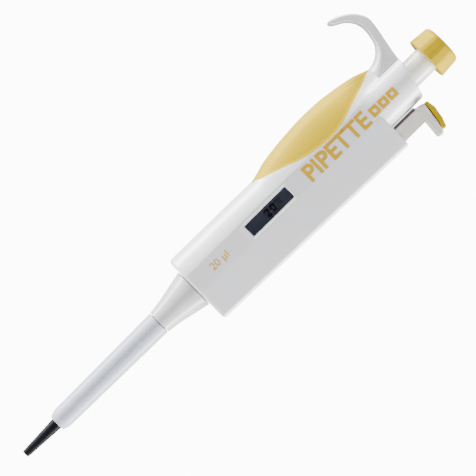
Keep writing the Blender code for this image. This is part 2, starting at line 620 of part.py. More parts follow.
def build_lower_body(carrier_top):
    """The piston, its spring and seals, the shaft with its seat and nut, and the nozzle."""
    carrier_bottom = carrier_top - CARRIER_HEIGHT
    piston_hole = PISTON_RADIUS + GAP
    piston_top = carrier_bottom + PISTON_IN_CARRIER
    turned("piston_carrier", [
        (0, carrier_top),
        (CARRIER_RADIUS, carrier_top),
        (CARRIER_RADIUS, carrier_bottom),
        (piston_hole, carrier_bottom),
        (piston_hole, piston_top + GAP),
        (0, piston_top + GAP),
    ], "grey_polymer", COARSE)
    disc("piston", PISTON_RADIUS, PISTON_TIP_Z, piston_top, "steel", 12)

    seat_top = SEAT_Z + SEAT_THICKNESS
    seat_outline = [(min(x, ARM_BAR_X[0] - 4 * GAP), y) for x, y in handle_section(WALL + GAP)]
    tidy = [point for i, point in enumerate(seat_outline) if point != seat_outline[i - 1]]
    seat = level_plate("shaft_seat", tidy, SEAT_Z, seat_top, "grey_polymer")
    boolean(seat, disc("seat_hole", SHAFT_RADIUS + GAP, SEAT_Z - WALL, seat_top + WALL))
    flange_low = seat_top + GAP
    flange_high = flange_low + SHAFT_FLANGE_HEIGHT
    turned("shaft", [
        (SHAFT_FLANGE_RADIUS, flange_high),
        (SHAFT_FLANGE_RADIUS, flange_low),
        (SHAFT_RADIUS, flange_low),
        (SHAFT_RADIUS, SHAFT_BOTTOM_Z),
        (SHAFT_BORE, SHAFT_BOTTOM_Z),
        (SHAFT_BORE, flange_high),
    ], "grey_polymer", COARSE)
    flat_to_corner = 1 / math.cos(math.pi / 6)
    ring("coupling_nut", NECK_BORE - 1.3 * GAP, (SHAFT_RADIUS + GAP) * flat_to_corner,
         SEAT_Z - GAP - COUPLING_NUT_HEIGHT, SEAT_Z - GAP, "brass", 6)
    coil("primary_spring", PRIMARY_SPRING, flange_high + GAP, carrier_bottom - GAP)

    seal_outer = SHAFT_BORE - GAP
    seal_top = SEAL_Z + SEAL_HEIGHT
    ring("piston_seal", seal_outer, piston_hole, SEAL_Z, seal_top, "ivory", COARSE)
    o_ring_z = seal_top + GAP + O_RING_WIRE
    o_ring_middle = (seal_outer + piston_hole) / 2
    profile = []
    for step in range(8):
        angle = -math.pi / 4 * step
        profile.append((o_ring_middle + O_RING_WIRE * math.cos(angle),
                        o_ring_z + O_RING_WIRE * math.sin(angle)))
    turned("seal_o_ring", profile, "rubber", COARSE)
    retainer_low = o_ring_z + O_RING_WIRE + GAP
    ring("seal_retainer", seal_outer, piston_hole, retainer_low, retainer_low + RETAINER_HEIGHT,
         "brass", COARSE)

    shoulder_top = SHAFT_BOTTOM_Z - GAP
    turned("nozzle", [
        (seal_outer, NOZZLE_SPIGOT_TOP_Z),
        (seal_outer, shoulder_top),
        (NOZZLE_SHOULDER_RADIUS, shoulder_top),
        (NOZZLE_SHOULDER_RADIUS, shoulder_top - 1.7 * MM),
        (NOZZLE_TOP_RADIUS, shoulder_top - 3.0 * MM),
        (NOZZLE_TOP_RADIUS, TUBE_BOTTOM_Z - 0.2 * MM),
        (NOZZLE_TIP_RADIUS, NOZZLE_BOTTOM_Z + 0.3 * MM),
        (NOZZLE_TIP_RADIUS - 0.2 * MM, NOZZLE_BOTTOM_Z),
        (NOZZLE_TIP_BORE, NOZZLE_BOTTOM_Z),
        (NOZZLE_TIP_BORE, TUBE_BOTTOM_Z - 9 * MM),
        (piston_hole, TUBE_BOTTOM_Z - 1 * MM),
        (piston_hole, NOZZLE_SPIGOT_TOP_Z),
    ], "black_plastic", FINE)


def build_ejector(cavity_front_x):
    """The button with its insert, the inner arm, its guide and spring, the collar and the tube."""
    head = [(x * MM, z * MM) for x, z in HEAD_OUTLINE]
    button = side_plate("ejector_button", head, HEAD_HALF_WIDTH, "ivory")
    stem = box("stem", (STEM_LEFT_X, STEM_RIGHT_X), (-STEM_HALF_WIDTH, STEM_HALF_WIDTH),
               (STEM_BOTTOM_Z, head[0][1] + WALL))
    boolean(button, stem, "UNION")
    insert = [(x * MM, z * MM) for x, z in INSERT_OUTLINE]
    side_plate("button_insert", insert, HEAD_HALF_WIDTH, "yellow")

    foot_low = COLLAR_NECK_TOP_Z + GAP
    foot_high = foot_low + ARM_FOOT_THICKNESS
    arm_side = (-ARM_HALF_WIDTH, ARM_HALF_WIDTH)
    arm = box("ejector_arm", ARM_BAR_X, arm_side, (foot_low + GAP, STEM_BOTTOM_Z - GAP), "cool_white")
    block_side = (-ARM_HALF_WIDTH - GAP, ARM_HALF_WIDTH + GAP)
    block = box("arm_block", (EJECTOR_SPRING_X - 1.5 * MM, ARM_BAR_X[1] + GAP), block_side,
                (ARM_BLOCK_BOTTOM_Z, STEM_BOTTOM_Z - 1.3 * GAP))
    tongue_side = (-ARM_HALF_WIDTH + GAP, ARM_HALF_WIDTH - GAP)
    tongue = box("arm_tongue", (NECK_BORE + 2 * GAP, ARM_BAR_X[1] - GAP), tongue_side,
                 (foot_low + GAP / 2, foot_high - GAP / 2))
    foot = ring("arm_foot", COLLAR_NECK_RADIUS - GAP, NECK_BORE, foot_low, foot_high)
    for piece in (block, foot, tongue):
        boolean(arm, piece, "UNION")

    guide = box("ejector_guide", (EJECTOR_SPRING_X - 1.7 * MM, cavity_front_x),
                (-5 * MM, 5 * MM), GUIDE_BLOCK_Z, "grey_polymer")
    passage = box("guide_passage", (ARM_BAR_X[0] - GAP, ARM_BAR_X[1] + GAP),
                  (-ARM_HALF_WIDTH - GAP, ARM_HALF_WIDTH + GAP),
                  (GUIDE_BLOCK_Z[0] - WALL, GUIDE_BLOCK_Z[1] + WALL))
    boolean(guide, passage)
    coil("ejector_spring", EJECTOR_SPRING, GUIDE_BLOCK_Z[1] + GAP, ARM_BLOCK_BOTTOM_Z - GAP,
         EJECTOR_SPRING_X)

    spigot_bore = TUBE_BORE + 0.5 * MM + GAP
    drop = -COLLAR_BOTTOM_Z
    foot_radius = TUBE_TOP_RADIUS + 0.1 * MM
    flare = []
    for share, narrowing in ((0, 0), (0.26, 0.27), (0.51, 0.6), (0.77, 0.87), (1, 1)):
        flare.append((COLLAR_TOP_RADIUS - (COLLAR_TOP_RADIUS - foot_radius) * narrowing,
                      -GAP - (drop - GAP) * share))
    turned("ejector_collar", [
        (COLLAR_NECK_RADIUS, COLLAR_NECK_TOP_Z),
        (COLLAR_NECK_RADIUS, -GAP),
        *flare,
        (spigot_bore, COLLAR_BOTTOM_Z),
        (spigot_bore, COLLAR_BOTTOM_Z + SPIGOT_LENGTH),
        (NECK_BORE, COLLAR_BOTTOM_Z + 2 * SPIGOT_LENGTH),
        (NECK_BORE, COLLAR_NECK_TOP_Z),
    ], "white_shell", FINE)
    tube_top = COLLAR_BOTTOM_Z - GAP
    spigot = spigot_bore - GAP
    turned("ejector_tube", [
        (spigot, tube_top + SPIGOT_LENGTH),
        (spigot, tube_top),
        (TUBE_TOP_RADIUS, tube_top),
        (TUBE_BOTTOM_RADIUS, TUBE_BOTTOM_Z + 2.1 * MM),
        (TUBE_BOTTOM_RADIUS - 0.3 * MM, TUBE_BOTTOM_Z + 0.8 * MM),
        (LIP_RADIUS, TUBE_BOTTOM_Z),
        (LIP_BORE, TUBE_BOTTOM_Z),
        (TUBE_BORE, TUBE_BOTTOM_Z + 1.5 * MM),
        (TUBE_BORE, tube_top + SPIGOT_LENGTH),
    ], "cool_white", FINE)


clear_scene()
parts = make_collection("micropipette")
cutters = make_collection("cutters")
finishes = make_materials()

handle_cavity = build_housing()
build_hook()
build_grip(handle_cavity)
build_window()
build_locating_pins()
counter_bottom, counter_top = build_counter()
carrier_level = counter_bottom - GAP - 0.7 * MM
knob_group(carrier_level)
build_setting(counter_bottom, counter_top)
build_lower_body(carrier_level)
front_rise = (HANDLE_FRONT_TOP_X - HANDLE_FRONT_BOTTOM_X) * GUIDE_BLOCK_Z[0] / SHOULDER_Z
build_ejector(HANDLE_FRONT_BOTTOM_X + front_rise - FRONT_WALL - GAP)
bpy.context.view_layer.update()
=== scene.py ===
# %% [markdown]
# # The looks of an adjustable micropipette
# The design comes first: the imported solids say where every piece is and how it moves.
# This script dresses that frame. Each visible piece is rebuilt as a fine surface, worked out
# as a grid of points with numpy, and every finish is a node material on Object coordinates.

# %% Load the frame
import json
import math

import bmesh
import bpy
import numpy as np
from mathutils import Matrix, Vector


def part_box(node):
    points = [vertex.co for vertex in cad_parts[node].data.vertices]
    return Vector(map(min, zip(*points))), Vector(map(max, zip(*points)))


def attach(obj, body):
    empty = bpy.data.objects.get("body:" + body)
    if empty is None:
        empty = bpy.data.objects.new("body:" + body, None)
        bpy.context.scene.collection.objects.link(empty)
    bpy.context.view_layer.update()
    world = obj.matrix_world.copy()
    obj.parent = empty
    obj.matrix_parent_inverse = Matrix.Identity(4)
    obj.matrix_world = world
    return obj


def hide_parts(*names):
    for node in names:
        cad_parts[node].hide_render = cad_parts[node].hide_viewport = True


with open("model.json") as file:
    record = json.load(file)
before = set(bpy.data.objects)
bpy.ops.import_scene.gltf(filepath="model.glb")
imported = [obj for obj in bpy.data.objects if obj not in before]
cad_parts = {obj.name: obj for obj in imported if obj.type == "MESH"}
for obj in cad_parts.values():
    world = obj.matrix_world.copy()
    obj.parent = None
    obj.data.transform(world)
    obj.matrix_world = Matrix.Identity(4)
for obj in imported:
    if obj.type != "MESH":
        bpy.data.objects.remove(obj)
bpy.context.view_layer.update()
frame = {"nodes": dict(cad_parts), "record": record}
MM = 0.001

# %% [markdown]
# ## Camera
# The pipette lies slantwise across the view, so the camera is rolled about its own axis and
# the object stays upright in its frame. Turning the object would do the same, but its pieces
# would then leave the design's axes. A long lens from about a metre keeps the slight
# perspective that arches the knob's lower rim.

# %% Camera
ROLL = math.radians(45.4)
AIM = (-1.94 * MM, 26.9 * MM)
LENS, SENSOR = 200.0, 36.0
VIEW_WIDTH = 194.8 * MM

camera_data = bpy.data.cameras.new("camera")
camera_data.lens = LENS
camera_data.sensor_width = SENSOR
camera = bpy.data.objects.new("camera", camera_data)
bpy.context.scene.collection.objects.link(camera)
camera.location = (AIM[0], -VIEW_WIDTH * LENS / SENSOR, AIM[1])
camera.rotation_euler = (math.radians(90), -ROLL, 0)
bpy.context.scene.camera = camera
print("camera distance", round(-camera.location.y, 3), "m")

# %% [markdown]
# ## Light and floor
# White glossy plastic looks right only when it has something white to reflect. The surround
# is pure white where the camera sees it, and only a dim sky for the light that falls on the
# object. One background at one strength would either flood the plastic or look grey.

# %% World
world = bpy.data.worlds.new("white_room")
bpy.context.scene.world = world
world.use_nodes = True
wires = world.node_tree
wires.nodes.clear()
sky_out = wires.nodes.new("ShaderNodeOutputWorld")
sky_mix = wires.nodes.new("ShaderNodeMixShader")
sky_seen = wires.nodes.new("ShaderNodeBackground")
sky_light = wires.nodes.new("ShaderNodeBackground")
ray_kind = wires.nodes.new("ShaderNodeLightPath")
sky_seen.inputs["Color"].default_value = (1, 1, 1, 1)
sky_seen.inputs["Strength"].default_value = 12.0
sky_light.inputs["Color"].default_value = (0.93, 0.95, 1.0, 1)
sky_light.inputs["Strength"].default_value = 0.34
wires.links.new(ray_kind.outputs["Is Camera Ray"], sky_mix.inputs[0])
wires.links.new(sky_light.outputs[0], sky_mix.inputs[1])
wires.links.new(sky_seen.outputs[0], sky_mix.inputs[2])
wires.links.new(sky_mix.outputs[0], sky_out.inputs["Surface"])

# %% [markdown]
# ## Softboxes
# A softbox is a lamp behind a wide cloth. An area light with a size in both directions gives
# the same long, soft highlight, and one helper turns each to face the middle of the handle.

# %% Softboxes


def softbox(name, place, aim, size, power):
    """A rectangular area light at a place, turned to face its aim."""
    data = bpy.data.lights.new(name, "AREA")
    data.shape = "RECTANGLE"
    data.size, data.size_y = size
    data.energy = power
    lamp = bpy.data.objects.new(name, data)
    bpy.context.scene.collection.objects.link(lamp)
    lamp.location = place
    towards = Vector(aim) - Vector(place)
    lamp.rotation_euler = towards.to_track_quat("-Z", "Y").to_euler()
    return lamp


MIDDLE = (0.0, 0.0, 0.03)
softbox("softbox_left", (-0.62, -0.02, 0.08), MIDDLE, (0.2, 0.8), 22.0)
softbox("softbox_right", (0.62, -0.06, 0.08), MIDDLE, (0.2, 0.8), 19.0)
softbox("softbox_front", (0.15, -1.0, 0.45), MIDDLE, (0.5, 0.4), 2.5)
softbox("softbox_back", (0.0, 0.75, 0.35), MIDDLE, (0.7, 0.5), 6.0)

# %% [markdown]
# ## Helpers for grid surfaces
# A shape is a function of two parameters, sampled on a grid and handed to the mesh as whole
# arrays. Rows that shrink to a point close a shape; welding the doubles makes it one skin.
# Primitives and Booleans would be quicker to write, but leave long thin faces that shade badly.

# %% Grid to mesh


def set_piece(name, mesh, material, body, nodes=(), sharp=35):
    """Puts a finished mesh in the scene, riding on its body and standing for CAD nodes."""
    mesh.materials.append(material)
    mesh.shade_smooth()
    mesh.set_sharp_from_angle(angle=math.radians(sharp))
    piece = bpy.data.objects.new(name, mesh)
    bpy.context.scene.collection.objects.link(piece)
    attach(piece, body)
    if nodes:
        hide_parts(*nodes)
    return piece


WELD = 0.004 * MM


def grid_mesh(name, points, around=False, skip=None):
    """A (rows, columns, 3) grid of points as quads; around closes each row into a ring.

    Quad (r, c) joins points (r, c), (r, c + 1), (r + 1, c + 1) and (r + 1, c). Points closer
    than WELD become one.
    """
    rows, columns, _ = points.shape
    down = np.arange(rows - 1)[:, None]
    across = np.arange(columns if around else columns - 1)[None, :]
    beside = (across + 1) % columns
    quads = np.stack(np.broadcast_arrays(
        down * columns + across, down * columns + beside,
        (down + 1) * columns + beside, (down + 1) * columns + across), -1)
    quads = quads[~skip] if skip is not None else quads.reshape(-1, 4)
    mesh = bpy.data.meshes.new(name)
    mesh.from_pydata(points.reshape(-1, 3), [], quads.reshape(-1, 4))
    shape = bmesh.new()
    shape.from_mesh(mesh)
    bmesh.ops.remove_doubles(shape, verts=shape.verts, dist=WELD)
    bmesh.ops.dissolve_degenerate(shape, edges=shape.edges, dist=0.001 * MM)
    loose = [vert for vert in shape.verts if not vert.link_faces]
    bmesh.ops.delete(shape, geom=loose, context="VERTS")
    bmesh.ops.recalc_face_normals(shape, faces=shape.faces)
    shape.to_mesh(mesh)
    shape.free()
    return mesh


# %% [markdown]
# ## Rounded profiles and turned pieces
# A moulded or turned edge is never quite sharp. A profile is written as its few real corners
# with a radius each, and the rounding is worked out. A Bevel modifier could round the mesh
# afterwards, but it gives every edge the same width.

# %% Rounded profiles and turned pieces


def rounded_path(points, radii, steps=5, closed=False):
    """Each corner becomes a quadratic curve that starts and ends one radius away from it.

    The curve is (1-t)^2 start + 2t(1-t) corner + t^2 end, and never takes more than half a side.
    """
    points = np.array(points, float)
    count = len(points)
    path = []
    for i, radius in enumerate(radii):
        here = points[i]
        if radius == 0 or (not closed and i in (0, count - 1)):
            path.append(here)
            continue
        before, after = points[i - 1] - here, points[(i + 1) % count] - here
        start = here + before / np.linalg.norm(before) * min(radius, np.linalg.norm(before) / 2)
        end = here + after / np.linalg.norm(after) * min(radius, np.linalg.norm(after) / 2)
        for t in np.linspace(0, 1, steps):
            path.append((1 - t) ** 2 * start + 2 * t * (1 - t) * here + t ** 2 * end)
    return np.array(path)


def turned_grid(profile, columns=96, shrink=None):
    """The (radius, height) profile turned about Z; shrink scales the radius by angle.

    x = radius * shrink(angle) * cos(angle), y = the same with sin, z = height.
    """
    angle = np.linspace(0, 2 * math.pi, columns, endpoint=False)
    factor = np.ones(columns) if shrink is None else shrink(angle)
    radius = profile[:, :1] * factor
    return np.stack([radius * np.cos(angle), radius * np.sin(angle),
                     np.repeat(profile[:, 1:], columns, 1)], -1)


# %% [markdown]
# ## Slabs with rounded edges
# The button and the window pane are flat mouldings with an outline and a softened rim. The
# outline is drawn in towards its middle by a quarter circle at each face. A last row a little
# further in keeps the flat faces flat right up to the rim when they are shaded smooth.

# %% Slabs with rounded edges
FLAT_ROW = 0.25 * MM


def slab_grid(outline, low, high, edge, steps=5):
    """A closed (x, z) outline carried from y = low to high, rounded round its rim, closed.

    On the rim the outline moves in by edge (1 - sin a) while y moves by edge (1 - cos a).
    """
    middle = outline.mean(0)
    reach = np.linalg.norm(outline - middle, axis=1, keepdims=True)
    turn = np.linspace(0, math.pi / 2, steps)[:, None, None]
    rim = outline + (middle - outline) / reach * edge * (1 - np.sin(turn))
    depth = edge * (1 - np.cos(turn)) + 0 * rim[..., :1]
    near = np.concatenate([rim[..., :1], low + depth, rim[..., 1:]], 2)
    far = np.concatenate([rim[..., :1], high - depth, rim[..., 1:]], 2)[::-1]
    tip = np.broadcast_to(np.array([middle[0], 0, middle[1]]), near[:1].shape)
    flat = near[:1] + (tip + [0, low, 0] - near[:1]) / reach[None] * FLAT_ROW
    back = flat * [1, 0, 1] + [0, high, 0]
    return np.concatenate([tip + [0, low, 0], flat, near, far, back, tip + [0, high, 0]])


# %% [markdown]
# ## Finishes
# Moulded plastic is never one flat colour: the skin has a very fine grain from the mould and
# faint clouds where it cooled. One node group, moulded_skin, makes both, and each finish
# places it with its own colours. The glossy shader stays outside the group, in the material.

# %% The moulded skin group


def new_group(name, inputs, outputs):
    """An empty shader group with named sockets, and its two end nodes."""
    group = bpy.data.node_groups.new(name, "ShaderNodeTree")
    for label, kind, value in inputs:
        socket = group.interface.new_socket(label, in_out="INPUT", socket_type=kind)
        socket.default_value = value
    for label, kind in outputs:
        group.interface.new_socket(label, in_out="OUTPUT", socket_type=kind)
    return group, group.nodes.new("NodeGroupInput"), group.nodes.new("NodeGroupOutput")


def moulded_skin_group():
    """Colour clouds, varying gloss and a fine grain normal, all from Object coordinates."""
    group, given, made = new_group("moulded_skin", [
        ("Colour", "NodeSocketColor", (0.8, 0.8, 0.8, 1)),
        ("Cloud Colour", "NodeSocketColor", (0.7, 0.7, 0.7, 1)),
        ("Cloud Scale", "NodeSocketFloat", 60.0),
        ("Grain Scale", "NodeSocketFloat", 2500.0),
        ("Grain Depth", "NodeSocketFloat", 0.05),
        ("Gloss Low", "NodeSocketFloat", 0.25),
        ("Gloss High", "NodeSocketFloat", 0.4),
    ], [("Colour", "NodeSocketColor"), ("Roughness", "NodeSocketFloat"),
        ("Normal", "NodeSocketVector")])
    nodes, links = group.nodes, group.links
    place = nodes.new("ShaderNodeTexCoord")
    cloud = nodes.new("ShaderNodeTexNoise")
    cloud.inputs["Detail"].default_value = 3.0
    grain = nodes.new("ShaderNodeTexNoise")
    grain.inputs["Detail"].default_value = 2.0
    blend = nodes.new("ShaderNodeMix")
    blend.data_type = "RGBA"
    gloss = nodes.new("ShaderNodeMapRange")
    bump = nodes.new("ShaderNodeBump")
    bump.inputs["Distance"].default_value = 0.02 * MM
    links.new(place.outputs["Object"], cloud.inputs["Vector"])
    links.new(place.outputs["Object"], grain.inputs["Vector"])
    links.new(given.outputs["Cloud Scale"], cloud.inputs["Scale"])
    links.new(given.outputs["Grain Scale"], grain.inputs["Scale"])
    links.new(cloud.outputs["Fac"], blend.inputs[0])
    links.new(given.outputs["Colour"], blend.inputs[6])
    links.new(given.outputs["Cloud Colour"], blend.inputs[7])
    links.new(cloud.outputs["Fac"], gloss.inputs["Value"])
    links.new(given.outputs["Gloss Low"], gloss.inputs["To Min"])
    links.new(given.outputs["Gloss High"], gloss.inputs["To Max"])
    links.new(grain.outputs["Fac"], bump.inputs["Height"])
    links.new(given.outputs["Grain Depth"], bump.inputs["Strength"])
    links.new(blend.outputs[2], made.inputs["Colour"])
    links.new(gloss.outputs["Result"], made.inputs["Roughness"])
    links.new(bump.outputs["Normal"], made.inputs["Normal"])
    return group


moulded_skin = moulded_skin_group()

# %% [markdown]
# ## Plastics and metals
# Each finish is one glossy shader with its own colours and gloss. The shell has a clear coat
# for its polish, the yellow has tinted highlights so that it stays warm, and the inks are dull.
# Steel and brass use the same skin with much finer clouds, as turned bar has.

# %% Plastics and metals


def plastic(name, colour, cloud, gloss=(0.25, 0.38), grain=0.06, coat=0.0, metallic=0.0,
            cloud_scale=60.0, alpha=1.0, specular=0.5, tint=(1, 1, 1)):
    """A moulded or machined finish: the skin group feeding one glossy shader."""
    material = bpy.data.materials.new(name)
    material.use_nodes = True
    nodes, links = material.node_tree.nodes, material.node_tree.links
    shader = nodes["Principled BSDF"]
    skin = nodes.new("ShaderNodeGroup")
    skin.node_tree = moulded_skin
    skin.inputs["Colour"].default_value = (*colour, 1)
    skin.inputs["Cloud Colour"].default_value = (*cloud, 1)
    skin.inputs["Cloud Scale"].default_value = cloud_scale
    skin.inputs["Gloss Low"].default_value = gloss[0]
    skin.inputs["Gloss High"].default_value = gloss[1]
    skin.inputs["Grain Depth"].default_value = grain
    links.new(skin.outputs["Colour"], shader.inputs["Base Color"])
    links.new(skin.outputs["Roughness"], shader.inputs["Roughness"])
    links.new(skin.outputs["Normal"], shader.inputs["Normal"])
    shader.inputs["Metallic"].default_value = metallic
    shader.inputs["Coat Weight"].default_value = coat
    shader.inputs["Coat Roughness"].default_value = 0.25
    shader.inputs["Alpha"].default_value = alpha
    shader.inputs["Specular IOR Level"].default_value = specular
    shader.inputs["Specular Tint"].default_value = (*tint, 1)
    return material


white_shell = plastic("white_shell", (0.90, 0.90, 0.92), (0.87, 0.87, 0.895), coat=1.0)
collar_white = plastic("collar_white", (0.60, 0.59, 0.61), (0.57, 0.56, 0.58), coat=0.4)
cool_white = plastic("cool_white", (0.50, 0.53, 0.60), (0.475, 0.505, 0.58), (0.28, 0.4))
ivory = plastic("ivory", (0.90, 0.87, 0.80), (0.87, 0.835, 0.76), (0.25, 0.35), coat=0.6)
yellow = plastic("yellow", (0.55, 0.38, 0.0), (0.51, 0.345, 0.0), (0.4, 0.5), 0.1, specular=0.35,
                 tint=(1.0, 0.72, 0.05))
black_plastic = plastic("black_plastic", (0.0015, 0.0015, 0.004), (0.003, 0.003, 0.006),
                        (0.4, 0.5), specular=0.12)
drum_blue = plastic("drum_blue", (0.045, 0.055, 0.085), (0.035, 0.042, 0.07), (0.35, 0.5))
smoked_glass = plastic("smoked_glass", (0.012, 0.014, 0.03), (0.01, 0.012, 0.026), (0.06, 0.09),
                       0.0, alpha=0.15, specular=0.3)
digit_ink = plastic("digit_ink", (0.001, 0.001, 0.006), (0.002, 0.002, 0.008), (0.5, 0.6),
                    specular=0.05)
gold_ink = plastic("gold_ink", (0.72, 0.42, 0.0), (0.66, 0.37, 0.0), (0.4, 0.5), specular=0.2)
# A dark brown-grey painted shade, for the strip that fills the shaded slot beside the ejector's
# stem.
painted_slot_shade = plastic("painted_slot_shade", (0.15, 0.115, 0.09), (0.12, 0.09, 0.07), (0.5, 0.6))
steel = plastic("steel", (0.56, 0.56, 0.58), (0.50, 0.50, 0.52), (0.2, 0.35), 0.1,
                metallic=1.0, cloud_scale=400.0)
brass = plastic("brass", (0.72, 0.50, 0.22), (0.62, 0.42, 0.17), (0.2, 0.35), 0.1,
                metallic=1.0, cloud_scale=300.0)
grey_polymer = plastic("grey_polymer", (0.33, 0.34, 0.36), (0.29, 0.30, 0.32), (0.4, 0.55))
rubber = plastic("rubber", (0.018, 0.018, 0.018), (0.028, 0.027, 0.026), (0.6, 0.8), 0.2)


# %% [markdown]
# ## Finishes on the inner pieces
# The springs, the screw, the piston and the other hidden pieces keep the design's own solids.
# Each one gets the finish that its material slot names, so a cut-away view looks right too.

# %% Finishes on the design's solids
finishes = {"white_shell": white_shell, "cool_white": cool_white, "ivory": ivory,
            "yellow": yellow, "black_plastic": black_plastic, "drum_blue": drum_blue,
            "smoked_glass": smoked_glass, "steel": steel, "brass": brass,
            "grey_polymer": grey_polymer, "rubber": rubber}
for part in frame["record"]["subparts"]:
    node = frame["nodes"][part["node"]]
    node.data.materials.clear()
    node.data.materials.append(finishes[part["material_slot"]])
print(len(finishes), "finishes on", len(frame["nodes"]), "CAD nodes")

# %% [markdown]
# ## The body's cross-section
# The handle is a rounded back, a flat facet, a leaning plane and a thin front. Higher up it
# melts into the round tower. Both are written as one half outline, from the back seam round
# the window side to the front seam, so every height has the same columns. Two lofts joined by
# a Boolean would leave a hard line where the real body flows.

# %% Measures of the body
DEPTH = 9.8 * MM
TOWER_R = 9.9 * MM
TOWER_X = 0.3 * MM
TOWER_BACK_X = -7.9 * MM
TOWER_TOP_Z = 120.6 * MM
FACET_X = (-5.3 * MM, 3.3 * MM)
SHOULDER_Z = 103.1 * MM
NOSE_Z = 113.4 * MM
CORNER = 1.8 * MM
TOP_CORNER = 1.3 * MM
WALL = 0.8 * MM
LEAF_Z = (47.0 * MM, 113.2 * MM)
SEAM = 0.06 * MM
FRONT_X = (17.6 * MM, 20.05 * MM)
PLANE_DROP = 1.2 * MM
BEND_AT, FACE_AT = 0.62, 0.78
TOP_LINE = ((TOWER_BACK_X, 124.8 * MM), (10.8 * MM, 121.3 * MM))

BACK_LINE = np.array([(0, -14.9), (30, -14.7), (47, -14.5), (51, -15.5), (56, -17.0),
                      (61.2, -17.7), (66.3, -18.4), (76.5, -19.1), (82, -19.2), (90, -18.9),
                      (100, -17.5), (107, -16.0), (113.3, -13.6), (126, -13.6)]) * MM
LEAF_LINE = np.array([(47, -14.5), (51, -12.5), (56, -10.8), (61.2, -9.1), (66.3, -7.2),
                      (70.4, -6.1), (76, -5.1), (81.6, -4.7), (86, -4.95), (90, -5.6),
                      (100, -8.8), (107, -10.95), (113.2, -13.6)]) * MM


def smoothed(line, z):
    """The line's values averaged over 4 mm either side, with weights 1 + cos(pi offset)."""
    offsets = np.linspace(-1, 1, 21)
    weights = 1 + np.cos(math.pi * offsets)
    samples = np.interp(z[:, None] + offsets * 4 * MM, line[:, 0], line[:, 1])
    return (samples * weights).sum(1) / weights.sum()


def ease(value, low, high):
    """0 below low, 1 above high, and the smooth S of 3t^2 - 2t^3 between."""
    t = np.clip((value - low) / (high - low), 0, 1)
    return t * t * (3 - 2 * t)


def leaf_edge(z):
    """The x of the leaf's front edge at each height."""
    return np.interp(z, LEAF_LINE[:, 0], LEAF_LINE[:, 1])


def tower_share(z):
    """How far the handle's section has melted into the tower's."""
    return ease(z, 94 * MM, 111 * MM)


def tower_y(x):
    """Half the tower's depth at x: the square root of radius^2 - (x - centre)^2."""
    return np.sqrt(np.maximum(TOWER_R ** 2 - (x - TOWER_X) ** 2, 0))


# %% [markdown]
# ## Back, facet and front stretches
# Each stretch of the outline is its own function of height and of a share that runs from 0 to
# 1 along it. The leaf grip and the lettering use the same functions later, so they sit on the
# shell exactly.

# %% Back, facet and front stretches


def back_curve(z, t):
    """A cubic curve from the facet's edge (t = 0) round to the back seam (t = 1).

    The four Bezier points are the facet's edge, a point along its lean, and two at the back's
    x, the last of them on the seam. The tower's share moves the edge onto the tower's circle.
    """
    soft = smoothed(BACK_LINE, z)[:, None]
    exact = np.interp(z, BACK_LINE[:, 0], BACK_LINE[:, 1])[:, None]
    tail = np.where((z > 55 * MM)[:, None] & (z < 105 * MM)[:, None], soft, exact)
    to_tower = tower_share(z)[:, None]
    edge_x = FACET_X[0] + (TOWER_BACK_X - FACET_X[0]) * to_tower
    edge_x = np.maximum(edge_x, leaf_edge(z)[:, None] + 0.5 * MM)
    edge_y = -(DEPTH + (tower_y(edge_x) - DEPTH) * to_tower)
    lean = 0.30 + 0.9 * to_tower
    span = edge_x - tail
    x1, y1 = edge_x - 0.45 * span, edge_y + 0.45 * span * lean * 0.8
    y2 = edge_y * 0.48
    bend = [(1 - t) ** 3, 3 * t * (1 - t) ** 2, 3 * t * t * (1 - t), t ** 3]
    x = bend[0] * edge_x + bend[1] * x1 + bend[2] * tail + bend[3] * tail
    y = bend[0] * edge_y + bend[1] * np.minimum(y1, y2) + bend[2] * y2
    return x, y


def leaf_share(z):
    """Where on the back curve the leaf's front edge lies, as t for each height."""
    t = np.linspace(0, 1, 240)[None, :]
    x, _ = back_curve(z, t)
    edge = leaf_edge(z)
    share = np.array([np.interp(-e, -row, t[0]) for e, row in zip(edge, x)])
    inside = (z >= LEAF_Z[0]) & (z <= LEAF_Z[1])
    return np.where(inside, share, 1.0)


def facet_stretch(z, share):
    """The flat facet, which takes on the tower's roundness above the shoulder."""
    start = back_curve(z, np.zeros((1, 1)))[0]
    x = start + (FACET_X[1] - start) * share
    to_tower = tower_share(z)[:, None]
    return x, -(DEPTH + (tower_y(x) - DEPTH) * to_tower)


def front_of_handle(z, share):
    """The leaning plane, its rounded edge and the narrow front face, to the front seam.

    Straight up to BEND_AT, a quarter circle up to FACE_AT, then straight in to y = 0.
    """
    front = np.interp(z, (0, SHOULDER_Z), FRONT_X)[:, None]
    flat = np.clip(share / BEND_AT, 0, 1)
    turn = np.clip((share - BEND_AT) / (FACE_AT - BEND_AT), 0, 1) * math.pi / 2
    rest = np.clip((share - FACE_AT) / (1 - FACE_AT), 0, 1)
    x = FACET_X[1] + (front - CORNER - FACET_X[1]) * flat + CORNER * np.sin(turn)
    y = -(DEPTH - PLANE_DROP * flat) + CORNER * (1 - np.cos(turn))
    return x, y * (1 - rest) + 0 * x


def front_of_tower(z, share):
    """The right-hand quarter of the round tower, to the front seam."""
    start = math.asin((FACET_X[1] - TOWER_X) / TOWER_R)
    angle = start + (math.pi / 2 - start) * share + 0 * z[:, None]
    return TOWER_X + TOWER_R * np.sin(angle), -TOWER_R * np.cos(angle)


# %% [markdown]
# ## The two housing shells
# The shells meet on a seam down the back and the front. Rows run from the hole in the floor,
# round the bottom edge, up the handle, over the thumb-side shoulder, up the tower and into
# the hole for the plunger. Columns and rows are placed on the window's edges, so leaving out
# the quads inside it cuts a clean opening without a Boolean.

